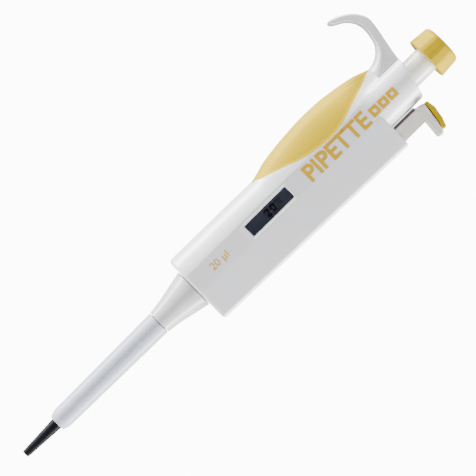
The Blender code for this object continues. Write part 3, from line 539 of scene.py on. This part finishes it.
# %% Columns and rows
WINDOW = (-3.7 * MM, 2.4 * MM, 31.8 * MM, 55.1 * MM)
LEAF_GAP = 0.012
window_shares = [(x - FACET_X[0]) / (FACET_X[1] - FACET_X[0]) for x in WINDOW[:2]]
back_columns = np.linspace(1, 0, 27)[None, :]
facet_columns = np.concatenate([np.linspace(0, window_shares[0], 4)[1:],
                                np.linspace(window_shares[0], window_shares[1], 9)[1:],
                                np.linspace(window_shares[1], 1, 3)[1:]])[None, :]
front_columns = np.concatenate([np.linspace(0, BEND_AT, 22)[1:],
                                np.linspace(BEND_AT, FACE_AT, 8)[1:],
                                np.linspace(FACE_AT, 1, 8)[1:]])[None, :]
handle_rows = np.unique(np.concatenate([
    np.linspace(CORNER, WINDOW[2], 12), np.linspace(WINDOW[2], LEAF_Z[0], 10),
    np.linspace(LEAF_Z[0], WINDOW[3], 10), np.linspace(WINDOW[3], SHOULDER_Z - TOP_CORNER, 48)]))


def shell_back(z):
    """The back's stretch, which stops just short of the leaf where there is one."""
    share = leaf_share(z)[:, None]
    gap = LEAF_GAP * (share < 0.999)
    return back_curve(z, back_columns * (share - gap))


def handle_row(z):
    """The half outline at each height up to the shoulder, back seam to front seam."""
    bx, by = shell_back(z)
    mx, my = facet_stretch(z, facet_columns)
    fx, fy = front_of_handle(z, front_columns)
    return np.concatenate([bx, mx, fx], 1), np.concatenate([by, my, fy], 1)


def tower_row(z):
    """The half outline above the shoulder; its back still carries the nose under the hook."""
    bx, by = shell_back(z)
    above = (z > NOSE_Z + 0.2 * MM)[:, None]
    start = math.asin((TOWER_BACK_X - TOWER_X) / TOWER_R)
    angle = start + (-math.pi / 2 - start) * back_columns
    bx = np.where(above, TOWER_X + TOWER_R * np.sin(angle), bx)
    by = np.where(above, -TOWER_R * np.cos(angle), by)
    mx, my = facet_stretch(z, facet_columns)
    fx, fy = front_of_tower(z, front_columns)
    return np.concatenate([bx, mx, fx], 1), np.concatenate([by, my, fy], 1)


def inset(x, y, distance):
    """An outline moved inwards along its normals, which are taken from its neighbours."""
    tx, ty = np.gradient(x, axis=1), np.gradient(y, axis=1)
    length = np.hypot(tx, ty) + 1e-12
    return x - ty / length * distance, y + tx / length * distance


def ring_columns(x, y, radius):
    """A circle about the plunger axis with each column in its own direction."""
    angle = np.arctan2(y, x)
    return radius * np.cos(angle), radius * np.sin(angle)


def top_height(x):
    """The height of the tower's sloping top at x, along a straight line."""
    (x0, z0), (x1, z1) = TOP_LINE
    return z0 + (z1 - z0) * (x - x0) / (x1 - x0)


# %% [markdown]
# ## The opening for the ejector's stem
# The button's flat stem goes down through the thumb-side shoulder. Its slot is made by two
# extra rows on the shoulder's top: one goes round the slot's flank and its thumb end, the
# other runs along its tower end, and the quads between them are left out.

# %% Stem opening
STEM_HOLE = (10.24 * MM, 18.45 * MM, 4.3 * MM)


def stem_opening(hx, hy, tx, ty):
    """Two rows on the shoulder's top: the front columns meet the stem's opening."""
    left, right, half = STEM_HOLE
    side = np.clip((front_columns - BEND_AT) / (FACE_AT - BEND_AT), 0, 1)
    end = np.clip((front_columns - FACE_AT) / (1 - FACE_AT), 0, 1)
    count = front_columns.size
    outer_x, outer_y = hx * 0.5 + tx * 0.5, hy * 0.5 + ty * 0.5
    inner_x, inner_y = outer_x.copy(), outer_y.copy()
    on_edge = front_columns >= BEND_AT - 1e-9
    edge_y = -half * (1 - end)
    for row, value in ((outer_x, left + (right - left) * side), (inner_x, left)):
        row[:, -count:] = np.where(on_edge, value, row[:, -count:])
    for row in (outer_y, inner_y):
        row[:, -count:] = np.where(on_edge, edge_y, row[:, -count:])
    return (outer_x, outer_y), (inner_x, inner_y)


# %% [markdown]
# ## The shell's rows
# One function stacks every row in order, and the far shell is the same grid with y reversed.
# Solidify then gives the skin its wall, because a moulding is an even thickness all over.

# %% The shell grid
NECK_HOLE_R = 8.2 * MM
TUBE_HOLE_R = 6.25 * MM
FLOOR_DEPTH, TOP_DEPTH = 1.6 * MM, 3.0 * MM
RIM, LIP = 1.5 * MM, 0.5 * MM


def shell_grid():
    """All rows of one half shell, from the floor's hole to the plunger's hole."""
    rows = []
    turn = np.linspace(0, math.pi / 2, 7)
    base_x, base_y = handle_row(np.array([CORNER]))
    hole_x, hole_y = ring_columns(base_x, base_y, NECK_HOLE_R)
    flat = np.ones_like(base_x)
    rows.append((hole_x, hole_y, flat * FLOOR_DEPTH))
    rows.append((hole_x, hole_y, flat * 0))
    for angle in turn[:-1]:
        x, y = inset(base_x, base_y, RIM * (1 - math.sin(angle)))
        rows.append((x, y, flat * RIM * (1 - math.cos(angle))))
    z = handle_rows
    x, y = handle_row(z)
    rows += [(x[i:i + 1], y[i:i + 1], flat * z[i]) for i in range(len(z))]
    for angle in turn[1:]:
        z = np.array([SHOULDER_Z - TOP_CORNER * (1 - math.sin(angle))])
        hx, hy = handle_row(z)
        tx, ty = tower_row(z)
        away = np.hypot(tx - hx, ty - hy) + 1e-9
        move = np.minimum(TOP_CORNER * (1 - math.cos(angle)) / away, 0.9)
        rows.append((hx + (tx - hx) * move, hy + (ty - hy) * move, flat * z[0]))
    hx, hy = rows[-1][:2]
    tx, ty = tower_row(np.array([SHOULDER_Z]))
    rows += [(x, y, flat * SHOULDER_Z) for x, y in stem_opening(hx, hy, tx, ty)]
    low = np.linspace(SHOULDER_Z, NOSE_Z, 12)
    high = np.linspace(NOSE_Z + 0.3 * MM, TOWER_TOP_Z, 8)
    for z in np.concatenate([low, high]):
        x, y = tower_row(np.array([z]))
        rows.append((x, y, flat * z))
    for angle in turn:
        ix, iy = inset(x, y, LIP * (1 - math.cos(angle)))
        rows.append((ix, iy, top_height(x) - LIP * (1 - math.sin(angle))))
    hx, hy = ring_columns(x, y, TUBE_HOLE_R)
    rows.append((hx, hy, top_height(hx)))
    rows.append((hx, hy, top_height(hx) - TOP_DEPTH))
    grid = np.stack([np.concatenate(axis, 0) for axis in zip(*rows)], -1)
    grid[..., 1] = np.minimum(grid[..., 1], -SEAM)
    return grid


shell_points = shell_grid()
print("shell grid", shell_points.shape)


def flip_outward(mesh, side):
    """Turns an open half shell over when its flank's normals point the wrong way."""
    normal_y = sum(face.normal.y * face.area for face in mesh.polygons)
    if normal_y * side > 0:
        mesh.flip_normals()


def give_wall(piece):
    """An even wall on the inside of an open skin."""
    wall = piece.modifiers.new("wall", "SOLIDIFY")
    wall.thickness = WALL
    wall.offset = -1.0


def build_shell(name, side, node):
    """One half shell: the grid, less the quads of the window and of the stem's slot."""
    points = shell_points * np.array([1, side, 1])
    quad = (points[:-1, :-1] + points[1:, 1:]) / 2
    skip = ((quad[..., 0] > WINDOW[0]) & (quad[..., 0] < WINDOW[1])
            & (quad[..., 2] > WINDOW[2]) & (quad[..., 2] < WINDOW[3])
            & (quad[..., 1] < -DEPTH * 0.97))
    left, right, half = STEM_HOLE
    skip |= ((quad[..., 0] > left) & (quad[..., 0] < right) & (np.abs(quad[..., 1]) < half)
             & (np.abs(quad[..., 2] - SHOULDER_Z) < 0.01 * MM))
    mesh = grid_mesh(name, points, skip=skip)
    flip_outward(mesh, side)
    shell = set_piece(name, mesh, white_shell, "handle", [node], 28)
    give_wall(shell)
    print(name, len(mesh.polygons), "faces")


build_shell("housing_shell_near", 1, "housing_near_half")
build_shell("housing_shell_far", -1, "housing_far_half")

# %% [markdown]
# ## The soft grip
# The yellow leaf is a second moulding let into the back of the handle. It follows the same
# back curve as the shell, from one leaf edge round the seam to the other, standing a hair
# proud, with a faint ridge where the mould parted. Shrinkwrapping a flat leaf onto the shell
# would also work, but the shared curve is exact and needs no modifier.

# %% Leaf


def leaf_grid():
    """Rows up the leaf; columns run from its near edge round the back to its far edge.

    The surface stands off the back curve by a square root of the distance from the edge, plus
    a bell-shaped ridge beside the seam, both fading to nothing at the leaf's two tips.
    """
    z = LEAF_Z[0] + (LEAF_Z[1] - LEAF_Z[0]) * (1 - np.cos(np.linspace(0, math.pi, 84))) / 2
    share = leaf_share(np.clip(z, LEAF_Z[0] + 0.3 * MM, LEAF_Z[1] - 0.3 * MM))[:, None]
    across = (1 - np.cos(np.linspace(0, math.pi / 2, 34)))[None, :]
    x, y = back_curve(z, share + (1 - share) * across)
    tx, ty = np.gradient(x, axis=1), np.gradient(y, axis=1)
    length = np.hypot(tx, ty) + 1e-12
    from_edge = np.hypot(x - x[:, :1], y - y[:, :1])
    proud = 0.22 * MM * np.sqrt(np.clip(from_edge / (1.2 * MM), 0, 1)) - 0.08 * MM
    ridge = np.exp(-((x - x[:, -1:] - 2.4 * MM) / (0.35 * MM)) ** 2)
    ends = np.sin(math.pi * np.clip((z - z[0]) / (z[-1] - z[0]), 0, 1))[:, None] ** 0.25
    lift = (proud + 0.12 * MM * ridge * np.clip(from_edge / (1.5 * MM), 0, 1)) * ends
    x, y = x + ty / length * lift, y - tx / length * lift
    y[:, -1] = 0
    near = np.stack([x, y, np.repeat(z[:, None], x.shape[1], 1)], -1)
    far = near[:, -2::-1] * np.array([1, -1, 1])
    return np.concatenate([near, far], 1)


leaf_mesh = grid_mesh("soft_grip", leaf_grid())
outward = sum((face.center.x + 5 * MM) * face.normal.x for face in leaf_mesh.polygons)
if outward < 0:
    leaf_mesh.flip_normals()
leaf = set_piece("soft_grip", leaf_mesh, yellow, "handle", ["grip_insert"], 50)
give_wall(leaf)
print("leaf", len(leaf_mesh.polygons), "faces")

# %% [markdown]
# ## The finger hook
# The hook hangs the pipette on the forefinger. Its section is a broad bar with a flat side
# that rounds under towards the finger. Each station gives the outer edge, the place where
# the flat side ends, and the middle of the underside; splines run through all of them. A
# curve with a bevel would keep one section all along, and this one changes as it goes.

# %% Hook
HOOK_HALF = 5.4 * MM
HOOK_CORNER = 1.1 * MM
HOOK = np.array([
    (-7.95, 113.5, -7.95, 113.45, -13.6, 113.45), (-7.95, 117.5, -9.9, 116.4, -13.9, 115.2),
    (-7.95, 121.2, -12.3, 119.1, -14.6, 117.4), (-7.95, 124.75, -14.6, 121.7, -16.1, 119.7),
    (-12.5, 125.45, -17.0, 122.9, -18.5, 121.7), (-18.5, 126.55, -20.8, 123.7, -21.3, 122.8),
    (-24.2, 127.55, -24.9, 124.2, -25.0, 123.4), (-28.3, 127.75, -28.0, 124.2, -28.0, 123.3),
    (-31.8, 126.3, -31.2, 122.9, -30.9, 122.3), (-35.2, 123.3, -34.2, 120.5, -33.7, 120.0),
    (-37.9, 118.9, -36.2, 117.2, -35.5, 117.0), (-39.0, 115.7, -37.6, 115.2, -36.6, 115.1),
    (-38.9, 114.6, -38.2, 114.35, -37.3, 114.6)]) * MM


def spline_rows(stations, per_span, straight=0):
    """Catmull-Rom rows between stations; the first spans stay straight.

    Each span is the cubic through its two stations whose slope at each is half the step
    between that station's neighbours.
    """
    rows = []
    for i in range(len(stations) - 1):
        p1, p2 = stations[i], stations[i + 1]
        p0 = stations[i - 1] if i > straight else 2 * p1 - p2
        p3 = stations[i + 2] if i + 2 < len(stations) else 2 * p2 - p1
        for t in np.linspace(0, 1, per_span, endpoint=i == len(stations) - 2):
            if i < straight:
                rows.append(p1 + (p2 - p1) * t)
            else:
                rows.append(0.5 * (2 * p1 + (p2 - p0) * t + (2 * p0 - 5 * p1 + 4 * p2 - p3) * t * t
                                   + (3 * p1 - p0 - 3 * p2 + p3) * t ** 3))
    return np.array(rows)


def hook_grid():
    """Each row is a closed section: crown, rounded corner, flat side, rounded underside."""
    rows = spline_rows(HOOK, 7, 3)
    crown, side, under = rows[:, None, 0:2], rows[:, None, 2:4], rows[:, None, 4:6]
    depth = np.linalg.norm(side - crown, axis=2)[..., None] + 1e-9
    corner = np.minimum(HOOK_CORNER, depth * 0.6)
    turn = np.linspace(0, math.pi / 2, 6)[None, :, None]
    flat = np.linspace(0, 1, 7)[None, 1:, None]
    arc = np.linspace(0, math.pi / 2, 12)[None, 1:, None]
    top = np.linspace(0, 1, 5)[None, :-1, None]
    down = (side - crown) / depth
    inner = HOOK_HALF - corner
    parts = [(crown + 0 * top, -inner * top),
             (crown + down * corner * (1 - np.cos(turn)), -inner - corner * np.sin(turn)),
             (crown + down * (corner + (depth - corner) * flat), -HOOK_HALF + 0 * depth),
             (side + (under - side) * np.sin(arc), -HOOK_HALF * np.cos(arc))]
    xz = np.concatenate([place for place, _ in parts], 1)
    y = np.concatenate([np.broadcast_to(width, place.shape[:2] + (1,))
                        for place, width in parts], 1)
    near = np.concatenate([xz[..., :1], y, xz[..., 1:]], 2)
    ring = np.concatenate([near, near[:, -2:0:-1] * np.array([1, -1, 1])], 1)
    heart = ring.mean(1, keepdims=True)
    swell = (heart[-1:] - heart[-4:-3]) * 0.10
    root = np.broadcast_to(heart[:1], ring[:1].shape)
    ends = [heart[-1:] + (ring[-1:] - heart[-1:]) * math.cos(a) + swell * math.sin(a)
            for a in (0.5, 0.95, math.pi / 2)]
    return np.concatenate([root, ring] + ends)


hook_mesh = grid_mesh("finger_rest_hook", hook_grid(), around=True)
set_piece("finger_rest_hook", hook_mesh, white_shell, "handle", ["finger_hook"], 40)
print("hook", len(hook_mesh.polygons), "faces")

# %% [markdown]
# ## The dial knob and its sleeve
# The knob is turned with two fingers, so it has twelve shallow facets. Its radius is that of
# a regular twelve-sided polygon, softened a little at the corners. A bevelled cone with
# twelve sides would come close, but its bore would have to be cut and its rims repaired.

# %% Knob
FACET = math.radians(30)
KNOB_BORE = 6.45
TUBE_R, TUBE_BORE = 5.8, 4.62


def twelve_sided(angle):
    """A polygon's radius by angle, cos(half) / cos(away), capped by a wave near its corners."""
    corner_at = math.radians(-90 + 5)
    away = np.mod(angle - corner_at, FACET) - FACET / 2
    polygon = math.cos(FACET / 2) / np.cos(away)
    return np.minimum(polygon, 0.988 + 0.012 * np.cos(away * 12))


knob_profile = rounded_path(np.array([
    (0, 134.6), (KNOB_BORE, 134.6), (KNOB_BORE, 133.05), (9.9, 133.05), (9.0, 142.75),
    (0, 142.75)]) * MM, np.array([0, 0.2, 0.3, 0.5, 1.9, 0]) * MM, 7)
in_bore = (knob_profile[:, 0] < (KNOB_BORE + 0.25) * MM) & (knob_profile[:, 1] < 136 * MM)
knob_points = np.where(in_bore[:, None, None], turned_grid(knob_profile, 144),
                       turned_grid(knob_profile, 144, twelve_sided))
knob_mesh = grid_mesh("dial_knob", knob_points, around=True)
set_piece("dial_knob", knob_mesh, yellow, "knob_group", ["knob"], 22)

sleeve_profile = rounded_path(np.array([
    (TUBE_BORE, 107.0), (TUBE_R, 107.0), (TUBE_R, 136.5), (TUBE_BORE, 136.5)]) * MM,
    [0, 0.3 * MM, 0.3 * MM, 0])
sleeve_grid = turned_grid(np.concatenate([sleeve_profile, sleeve_profile[:1]]))
sleeve_mesh = grid_mesh("plunger_tube", sleeve_grid, around=True)
set_piece("plunger_tube", sleeve_mesh, ivory, "knob_group", ["plunger_sleeve"])
print("knob", len(knob_mesh.polygons), "sleeve", len(sleeve_mesh.polygons), "faces")

# %% [markdown]
# ## Tip end
# Below the handle everything is turned: the flare of the ejector collar, the long tapering
# ejector tube, and the black cone that takes the disposable tip. Each is a closed profile in
# millimetres, so the bore and the wall are real and show when a piece moves.

# %% Flare and neck


def turned_piece(name, profile, material, body, nodes, columns=96):
    """A profile closed back to its first point and turned about the plunger's axis."""
    closed = np.concatenate([profile, profile[:1]])
    mesh = grid_mesh(name, turned_grid(closed, columns), around=True)
    set_piece(name, mesh, material, body, nodes)
    print(name, len(mesh.polygons), "faces")


flare_line = rounded_path(np.array([
    (7.0, -0.35), (9.1, -0.35), (8.1, -5.3), (6.95, -10.4), (5.95, -15.5), (5.45, -20.2),
    (4.6, -20.2), (4.6, -14.0), (6.9, -2.0)]) * MM,
    np.array([0, 0.5, 2.2, 2.2, 2.2, 0.3, 0.2, 0, 0]) * MM)
turned_piece("ejector_flare", flare_line, collar_white, "ejector", ())
neck_line = np.array([(6.9, -0.1), (7.75, -0.1), (7.75, 12.9), (6.9, 12.9)]) * MM
turned_piece("ejector_neck", neck_line, collar_white, "ejector", ["ejector_collar"])

# %% [markdown]
# ## Ejector tube
# The tube tapers over its whole length and ends in a soft shoulder. Its long straight side
# gets extra rows, because one very long face shades unevenly next to the short rounded ones.

# %% Ejector tube
BARREL_FILL = 14
barrel_line = rounded_path(np.array([
    (3.9, -20.55), (5.3, -20.55), (4.62, -76.4), (3.6, -78.95), (3.02, -78.95), (3.85, -76.0)])
    * MM, np.array([0, 0.3, 1.6, 0.4, 0.2, 0]) * MM)
fill = np.linspace(barrel_line[5], barrel_line[6], BARREL_FILL)[1:-1]
barrel_line = np.concatenate([barrel_line[:6], fill, barrel_line[6:]])
turned_piece("ejector_barrel", barrel_line, cool_white, "ejector", ["ejector_tube"])

# %% [markdown]
# ## Tip cone
# The disposable tip is pushed onto this taper, so it is the one outside face that must be
# exact. A shoulder stops it against the shaft, and its spigot goes up inside as far as the
# design's nozzle does. The bore is wide for the piston and narrow for the last stretch.

# %% Tip cone
SPIGOT_R, PISTON_BORE, TIP_BORE = 2.28, 1.35, 0.46
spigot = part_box("nozzle")[1].z / MM - 0.05
cone_line = np.array([(TIP_BORE, -97.15), (1.64, -97.15), (2.6, -79.2), (2.6, -75.0),
                      (3.15, -74.0), (3.15, -72.35), (SPIGOT_R, -72.35), (SPIGOT_R, spigot),
                      (PISTON_BORE, spigot), (PISTON_BORE, -80.0), (TIP_BORE, -88.0)]) * MM
cone_radii = np.array([0, 0.25, 0.5, 0.3, 0.2, 0.2, 0, 0.1, 0, 0, 0]) * MM
turned_piece("tip_cone", rounded_path(cone_line, cone_radii), black_plastic, "handle",
             ["nozzle"], 72)

# %% [markdown]
# ## The tip ejector's button
# The thumb pushes a small ivory head beside the knob. A flat stem carries it down through the
# shoulder, a dark strip of painted shadow stands in the shaded slot beside the stem, and a
# yellow pad lies along the head's top. A bevelled box would do for the stem, but the head and
# the pad have outlines of their own.

# %% Button, stem and pad
PAD_INSET = 0.05


def cross_slab(name, corners, radius, half, edge, material, body, nodes=()):
    """A slab across the pipette from corners in millimetres, with rounded corners and rim."""
    outline = rounded_path(np.array(corners) * MM, [radius * MM] * len(corners), 6, True)
    points = slab_grid(outline, -half * MM, half * MM, edge * MM)
    return set_piece(name, grid_mesh(name, points, around=True), material, body, nodes, 45)


cross_slab("ejector_head", [(11.05, 115.65), (26.2, 114.45), (26.85, 116.0), (25.7, 117.35),
                            (12.0, 119.4)], 0.9, 6.45, 0.8, ivory, "ejector",
           ["ejector_button"])
# A thin dark strip of painted shadow between the tower and the stem: it stands where the slot lies
# in shade and is no real part.
cross_slab("painted_slot_shadow", [(10.32, 102.6), (11.9, 102.6), (11.9, 115.3), (10.32, 115.3)],
           0.2, 2.9, 0.2, painted_slot_shade, "ejector")
cross_slab("ejector_stem", [(11.75, 102.6), (18.1, 102.6), (18.1, 115.4), (11.75, 115.7)],
           0.4, 3.95, 0.4, ivory, "ejector", ())
pad_low, pad_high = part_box("button_insert")
cross_slab("ejector_pad", [(12.15, 119.85), (25.4, 117.8), (25.4, 119.3), (21.5, 120.7),
                           (16.0, 121.6), (12.3, 120.9)], 0.7,
           (pad_high.y - pad_low.y) / 2 / MM - PAD_INSET, 0.7, yellow, "ejector",
           ["button_insert"])
print("pad width", round((pad_high.y - pad_low.y) / MM, 2), "mm")

# %% [markdown]
# ## The volume window
# A smoked pane sits just below the facet, with a thin raised frame round it. The frame is a
# half-round bead: one rounded rectangle for each step round the bead's section, each a little
# larger than the last. A curve with a bevel would round both sides and pinch at the corners.

# %% Pane and frame
PANE_Y = (-9.48 * MM, -8.75 * MM)
BEAD_MIDDLE, BEAD_HALF, BEAD_LIFT, BEAD_SUNK = 0.35 * MM, 0.42 * MM, 0.16 * MM, 0.02 * MM
pane_outline = rounded_path(np.array([(-3.38, 32.15), (2.08, 32.15), (2.08, 54.75),
                                      (-3.38, 54.75)]) * MM, [0.35 * MM] * 4, 5, True)
pane_points = slab_grid(pane_outline, *PANE_Y, 0.12 * MM)
pane = grid_mesh("window_pane", pane_points, around=True)
set_piece("window_pane", pane, smoked_glass, "handle", ["window_lens"], 30)


def frame_grid():
    """A low half-round bead along the opening's edge: out = middle - half cos a, up = lift sin a."""
    middle = np.array([(WINDOW[0] + WINDOW[1]) / 2, (WINDOW[2] + WINDOW[3]) / 2])
    corner = np.array([(WINDOW[0], WINDOW[2]), (WINDOW[1], WINDOW[2]), (WINDOW[1], WINDOW[3]),
                       (WINDOW[0], WINDOW[3])])
    turn = np.linspace(0, math.pi, 9)
    rows = []
    outs, lifts = BEAD_MIDDLE - BEAD_HALF * np.cos(turn), BEAD_LIFT * np.sin(turn)
    for out, lift in zip(outs, lifts):
        grown = corner + np.sign(corner - middle) * out
        path = rounded_path(grown, [0.5 * MM] * 4, 5, True)
        rows.append(np.insert(path, 1, -DEPTH - lift + BEAD_SUNK, axis=1))
    return np.stack(rows)


bead = grid_mesh("window_frame", frame_grid(), around=True)
set_piece("window_frame", bead, white_shell, "handle", (), 60)
print("pane", len(pane.polygons), "frame", len(bead.polygons), "faces")

# %% [markdown]
# ## Flat print
# Lettering on plastic is a film of ink. An image would carry it, but a mesh stays sharp at
# any size. The text starts as a flat outline, is sliced into strips so that it can bend, and
# every vertex is then laid onto the body or round its drum.

# %% Flat text and squares
INK_LIFT = 0.02 * MM


def flat_text(name, words, width, weight=0.0):
    """Text as a flat mesh, centred and scaled to a width; returns (right, up) in metres."""
    curve = bpy.data.curves.new(name, "FONT")
    curve.body = words
    curve.size = 1.0
    curve.offset = weight
    curve.resolution_u = 6
    maker = bpy.data.objects.new(name, curve)
    bpy.context.scene.collection.objects.link(maker)
    bpy.context.view_layer.update()
    mesh = bpy.data.meshes.new_from_object(maker.evaluated_get(
        bpy.context.evaluated_depsgraph_get()))
    bpy.data.objects.remove(maker)
    bpy.data.curves.remove(curve)
    flat = np.empty(len(mesh.vertices) * 3)
    mesh.vertices.foreach_get("co", flat)
    flat = flat.reshape(-1, 3)
    low, high = flat.min(0), flat.max(0)
    flat = (flat - (low + high) / 2) * width / (high[0] - low[0])
    mesh.vertices.foreach_set("co", flat.ravel())
    return mesh


def slice_flat(mesh, step, axes=(1,)):
    """Cuts a flat mesh into strips so that it can bend smoothly."""
    shape = bmesh.new()
    shape.from_mesh(mesh)
    for axis in axes:
        way = np.eye(3)[axis]
        places = [vert.co[axis] for vert in shape.verts]
        for level in np.arange(min(places) + step, max(places), step):
            parts = list(shape.verts) + list(shape.edges) + list(shape.faces)
            bmesh.ops.bisect_plane(shape, geom=parts, plane_co=way * level, plane_no=way)
    bmesh.ops.triangulate(shape, faces=shape.faces)
    shape.to_mesh(mesh)
    shape.free()


def square_mesh(name, size, hole):
    """A flat square ring: four quads between a square and the same one scaled by hole."""
    outer = np.array([(-1, -1, 0), (1, -1, 0), (1, 1, 0), (-1, 1, 0)]) * size / 2
    inner = outer * hole
    mesh = bpy.data.meshes.new(name)
    quads = [(i, (i + 1) % 4, (i + 1) % 4 + 4, i + 4) for i in range(4)]
    mesh.from_pydata(np.concatenate([outer, inner]), [], quads)
    return mesh


def place_flat(mesh, lay):
    """Moves every vertex by lay(right, up), which returns x, y and z."""
    flat = np.empty(len(mesh.vertices) * 3)
    mesh.vertices.foreach_get("co", flat)
    flat = flat.reshape(-1, 3)
    mesh.vertices.foreach_set("co", np.stack(lay(flat[:, 0], flat[:, 1]), -1).ravel())
    mesh.update()


# %% [markdown]
# ## Print on the body
# The facet bears the capacity, the tool's name and three squares, all in gold. They follow the
# body where it turns from the flat facet into the round tower.

# %% Print on the body
SQUARE, SQUARE_STEP, SQUARE_Z = 4.3 * MM, 4.9 * MM, 102.7 * MM


def body_surface(x, z):
    """How far the facet and the tower stand out: depth + (tower's depth - depth) * share."""
    return DEPTH + (tower_y(x) - DEPTH) * tower_share(z)


def print_on_body(name, mesh, x_at, z_at):
    """Lays a flat mesh on the body; it reads upwards, its top towards the back."""
    slice_flat(mesh, 0.7 * MM, (0, 1))

    def lay(right, up):
        x, z = x_at - up, z_at + right
        return x, -body_surface(x, z) - INK_LIFT, z

    place_flat(mesh, lay)
    set_piece(name, mesh, gold_ink, "handle")
    print(name, len(mesh.polygons), "faces")


print_on_body("capacity_mark", flat_text("capacity_mark", "20 µl", 9.1 * MM, 0.015), -0.45 * MM,
              15.15 * MM)
print_on_body("name_strip", flat_text("name_strip", "PIPETTE", 34.5 * MM, 0.03), -0.3 * MM,
              81.5 * MM)
for i in range(3):
    name = "square_mark_%d" % i
    print_on_body(name, square_mesh(name, SQUARE, 0.35), 0.2 * MM, SQUARE_Z + SQUARE_STEP * i)

# %% [markdown]
# ## Digits on the drums
# Each drum shows one digit at a time and turns a tenth of a turn for the next. A digit that
# comes later sits one step further round, on the side the drum turns from. Because digits are
# pieces that ride on their drum, the reading changes when the knob is turned.

# %% Digits and ticks
DRUM_R = 7.3 * MM
DIGIT_X = -0.9 * MM
DIGIT_AT = math.asin(DIGIT_X / DRUM_R)
DIGITS, TICKS = 10, 20
TICK_HALF = 0.1 * MM


def print_on_drum(name, mesh, drum, turned, body):
    """Lays a flat mesh round a drum, its top towards the back of the handle.

    A vertex at (right, up) goes to the angle turned - up / radius, and right along the axis.
    """
    slice_flat(mesh, 0.5 * MM)
    low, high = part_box(drum)
    radius = DRUM_R + INK_LIFT

    def lay(right, up):
        turn = DIGIT_AT + turned - up / DRUM_R
        return radius * np.sin(turn), -radius * np.cos(turn), (low.z + high.z) / 2 + right

    place_flat(mesh, lay)
    set_piece(name, mesh, digit_ink, body)


for drum, body, shown in (("units_drum", "units_wheel", 0), ("tens_drum", "tens_wheel", 2)):
    for step in range(DIGITS):
        digit = str((shown - step) % DIGITS)
        name = "%s_digit_%s" % (drum, digit)
        mesh = flat_text(name, digit, (1.1 if digit == "1" else 2.2) * MM, 0.02)
        print_on_drum(name, mesh, drum, math.radians(360 / DIGITS * step), body)
for step in range(TICKS):
    name = "tenths_tick_%d" % step
    tick = bpy.data.meshes.new(name)
    half = (0.9 if step % 5 == 0 else 0.55) * MM
    corners = [(-half, -TICK_HALF, 0), (half, -TICK_HALF, 0), (half, TICK_HALF, 0),
               (-half, TICK_HALF, 0)]
    tick.from_pydata(np.array(corners), [], [(0, 1, 2, 3)])
    print_on_drum(name, tick, "tenths_drum", math.radians(360 / TICKS * step), "setting_group")
print("digits and ticks", 2 * DIGITS + TICKS)

# %% [markdown]
# ## Floor
# A wide pale disc, well under the tip, catches a soft bounce of light. It fades out towards
# its rim, so no edge shows against the white surround from any side. A large plane would
# need a horizon, and the main view looks along it.

# %% Floor disc
FLOOR_Z, FLOOR_R = -0.2, 0.5
floor_line = np.stack([np.linspace(0, FLOOR_R, 12), np.full(12, FLOOR_Z)], -1)
floor_mesh = grid_mesh("floor", turned_grid(floor_line, 96), around=True)
floor_finish = plastic("floor_finish", (0.82, 0.82, 0.83), (0.79, 0.79, 0.80), (0.6, 0.75), 0.0,
                       cloud_scale=6.0)
wires = floor_finish.node_tree
spot = wires.nodes.new("ShaderNodeTexCoord")
reach = wires.nodes.new("ShaderNodeVectorMath")
reach.operation = "LENGTH"
fade = wires.nodes.new("ShaderNodeMapRange")
fade.interpolation_type = "SMOOTHSTEP"
for label, value in (("From Min", 0.22), ("From Max", 0.53), ("To Min", 1.0), ("To Max", 0.0)):
    fade.inputs[label].default_value = value
wires.links.new(spot.outputs["Object"], reach.inputs[0])
wires.links.new(reach.outputs["Value"], fade.inputs["Value"])
wires.links.new(fade.outputs["Result"], wires.nodes["Principled BSDF"].inputs["Alpha"])

# %% [markdown]
# ## The floor is staging
# The disc isn't part of the pipette.

# %% Floor object
floor_mesh.materials.append(floor_finish)
floor_disc = bpy.data.objects.new("floor", floor_mesh)
bpy.context.scene.collection.objects.link(floor_disc)
print("floor", len(floor_mesh.polygons), "faces")
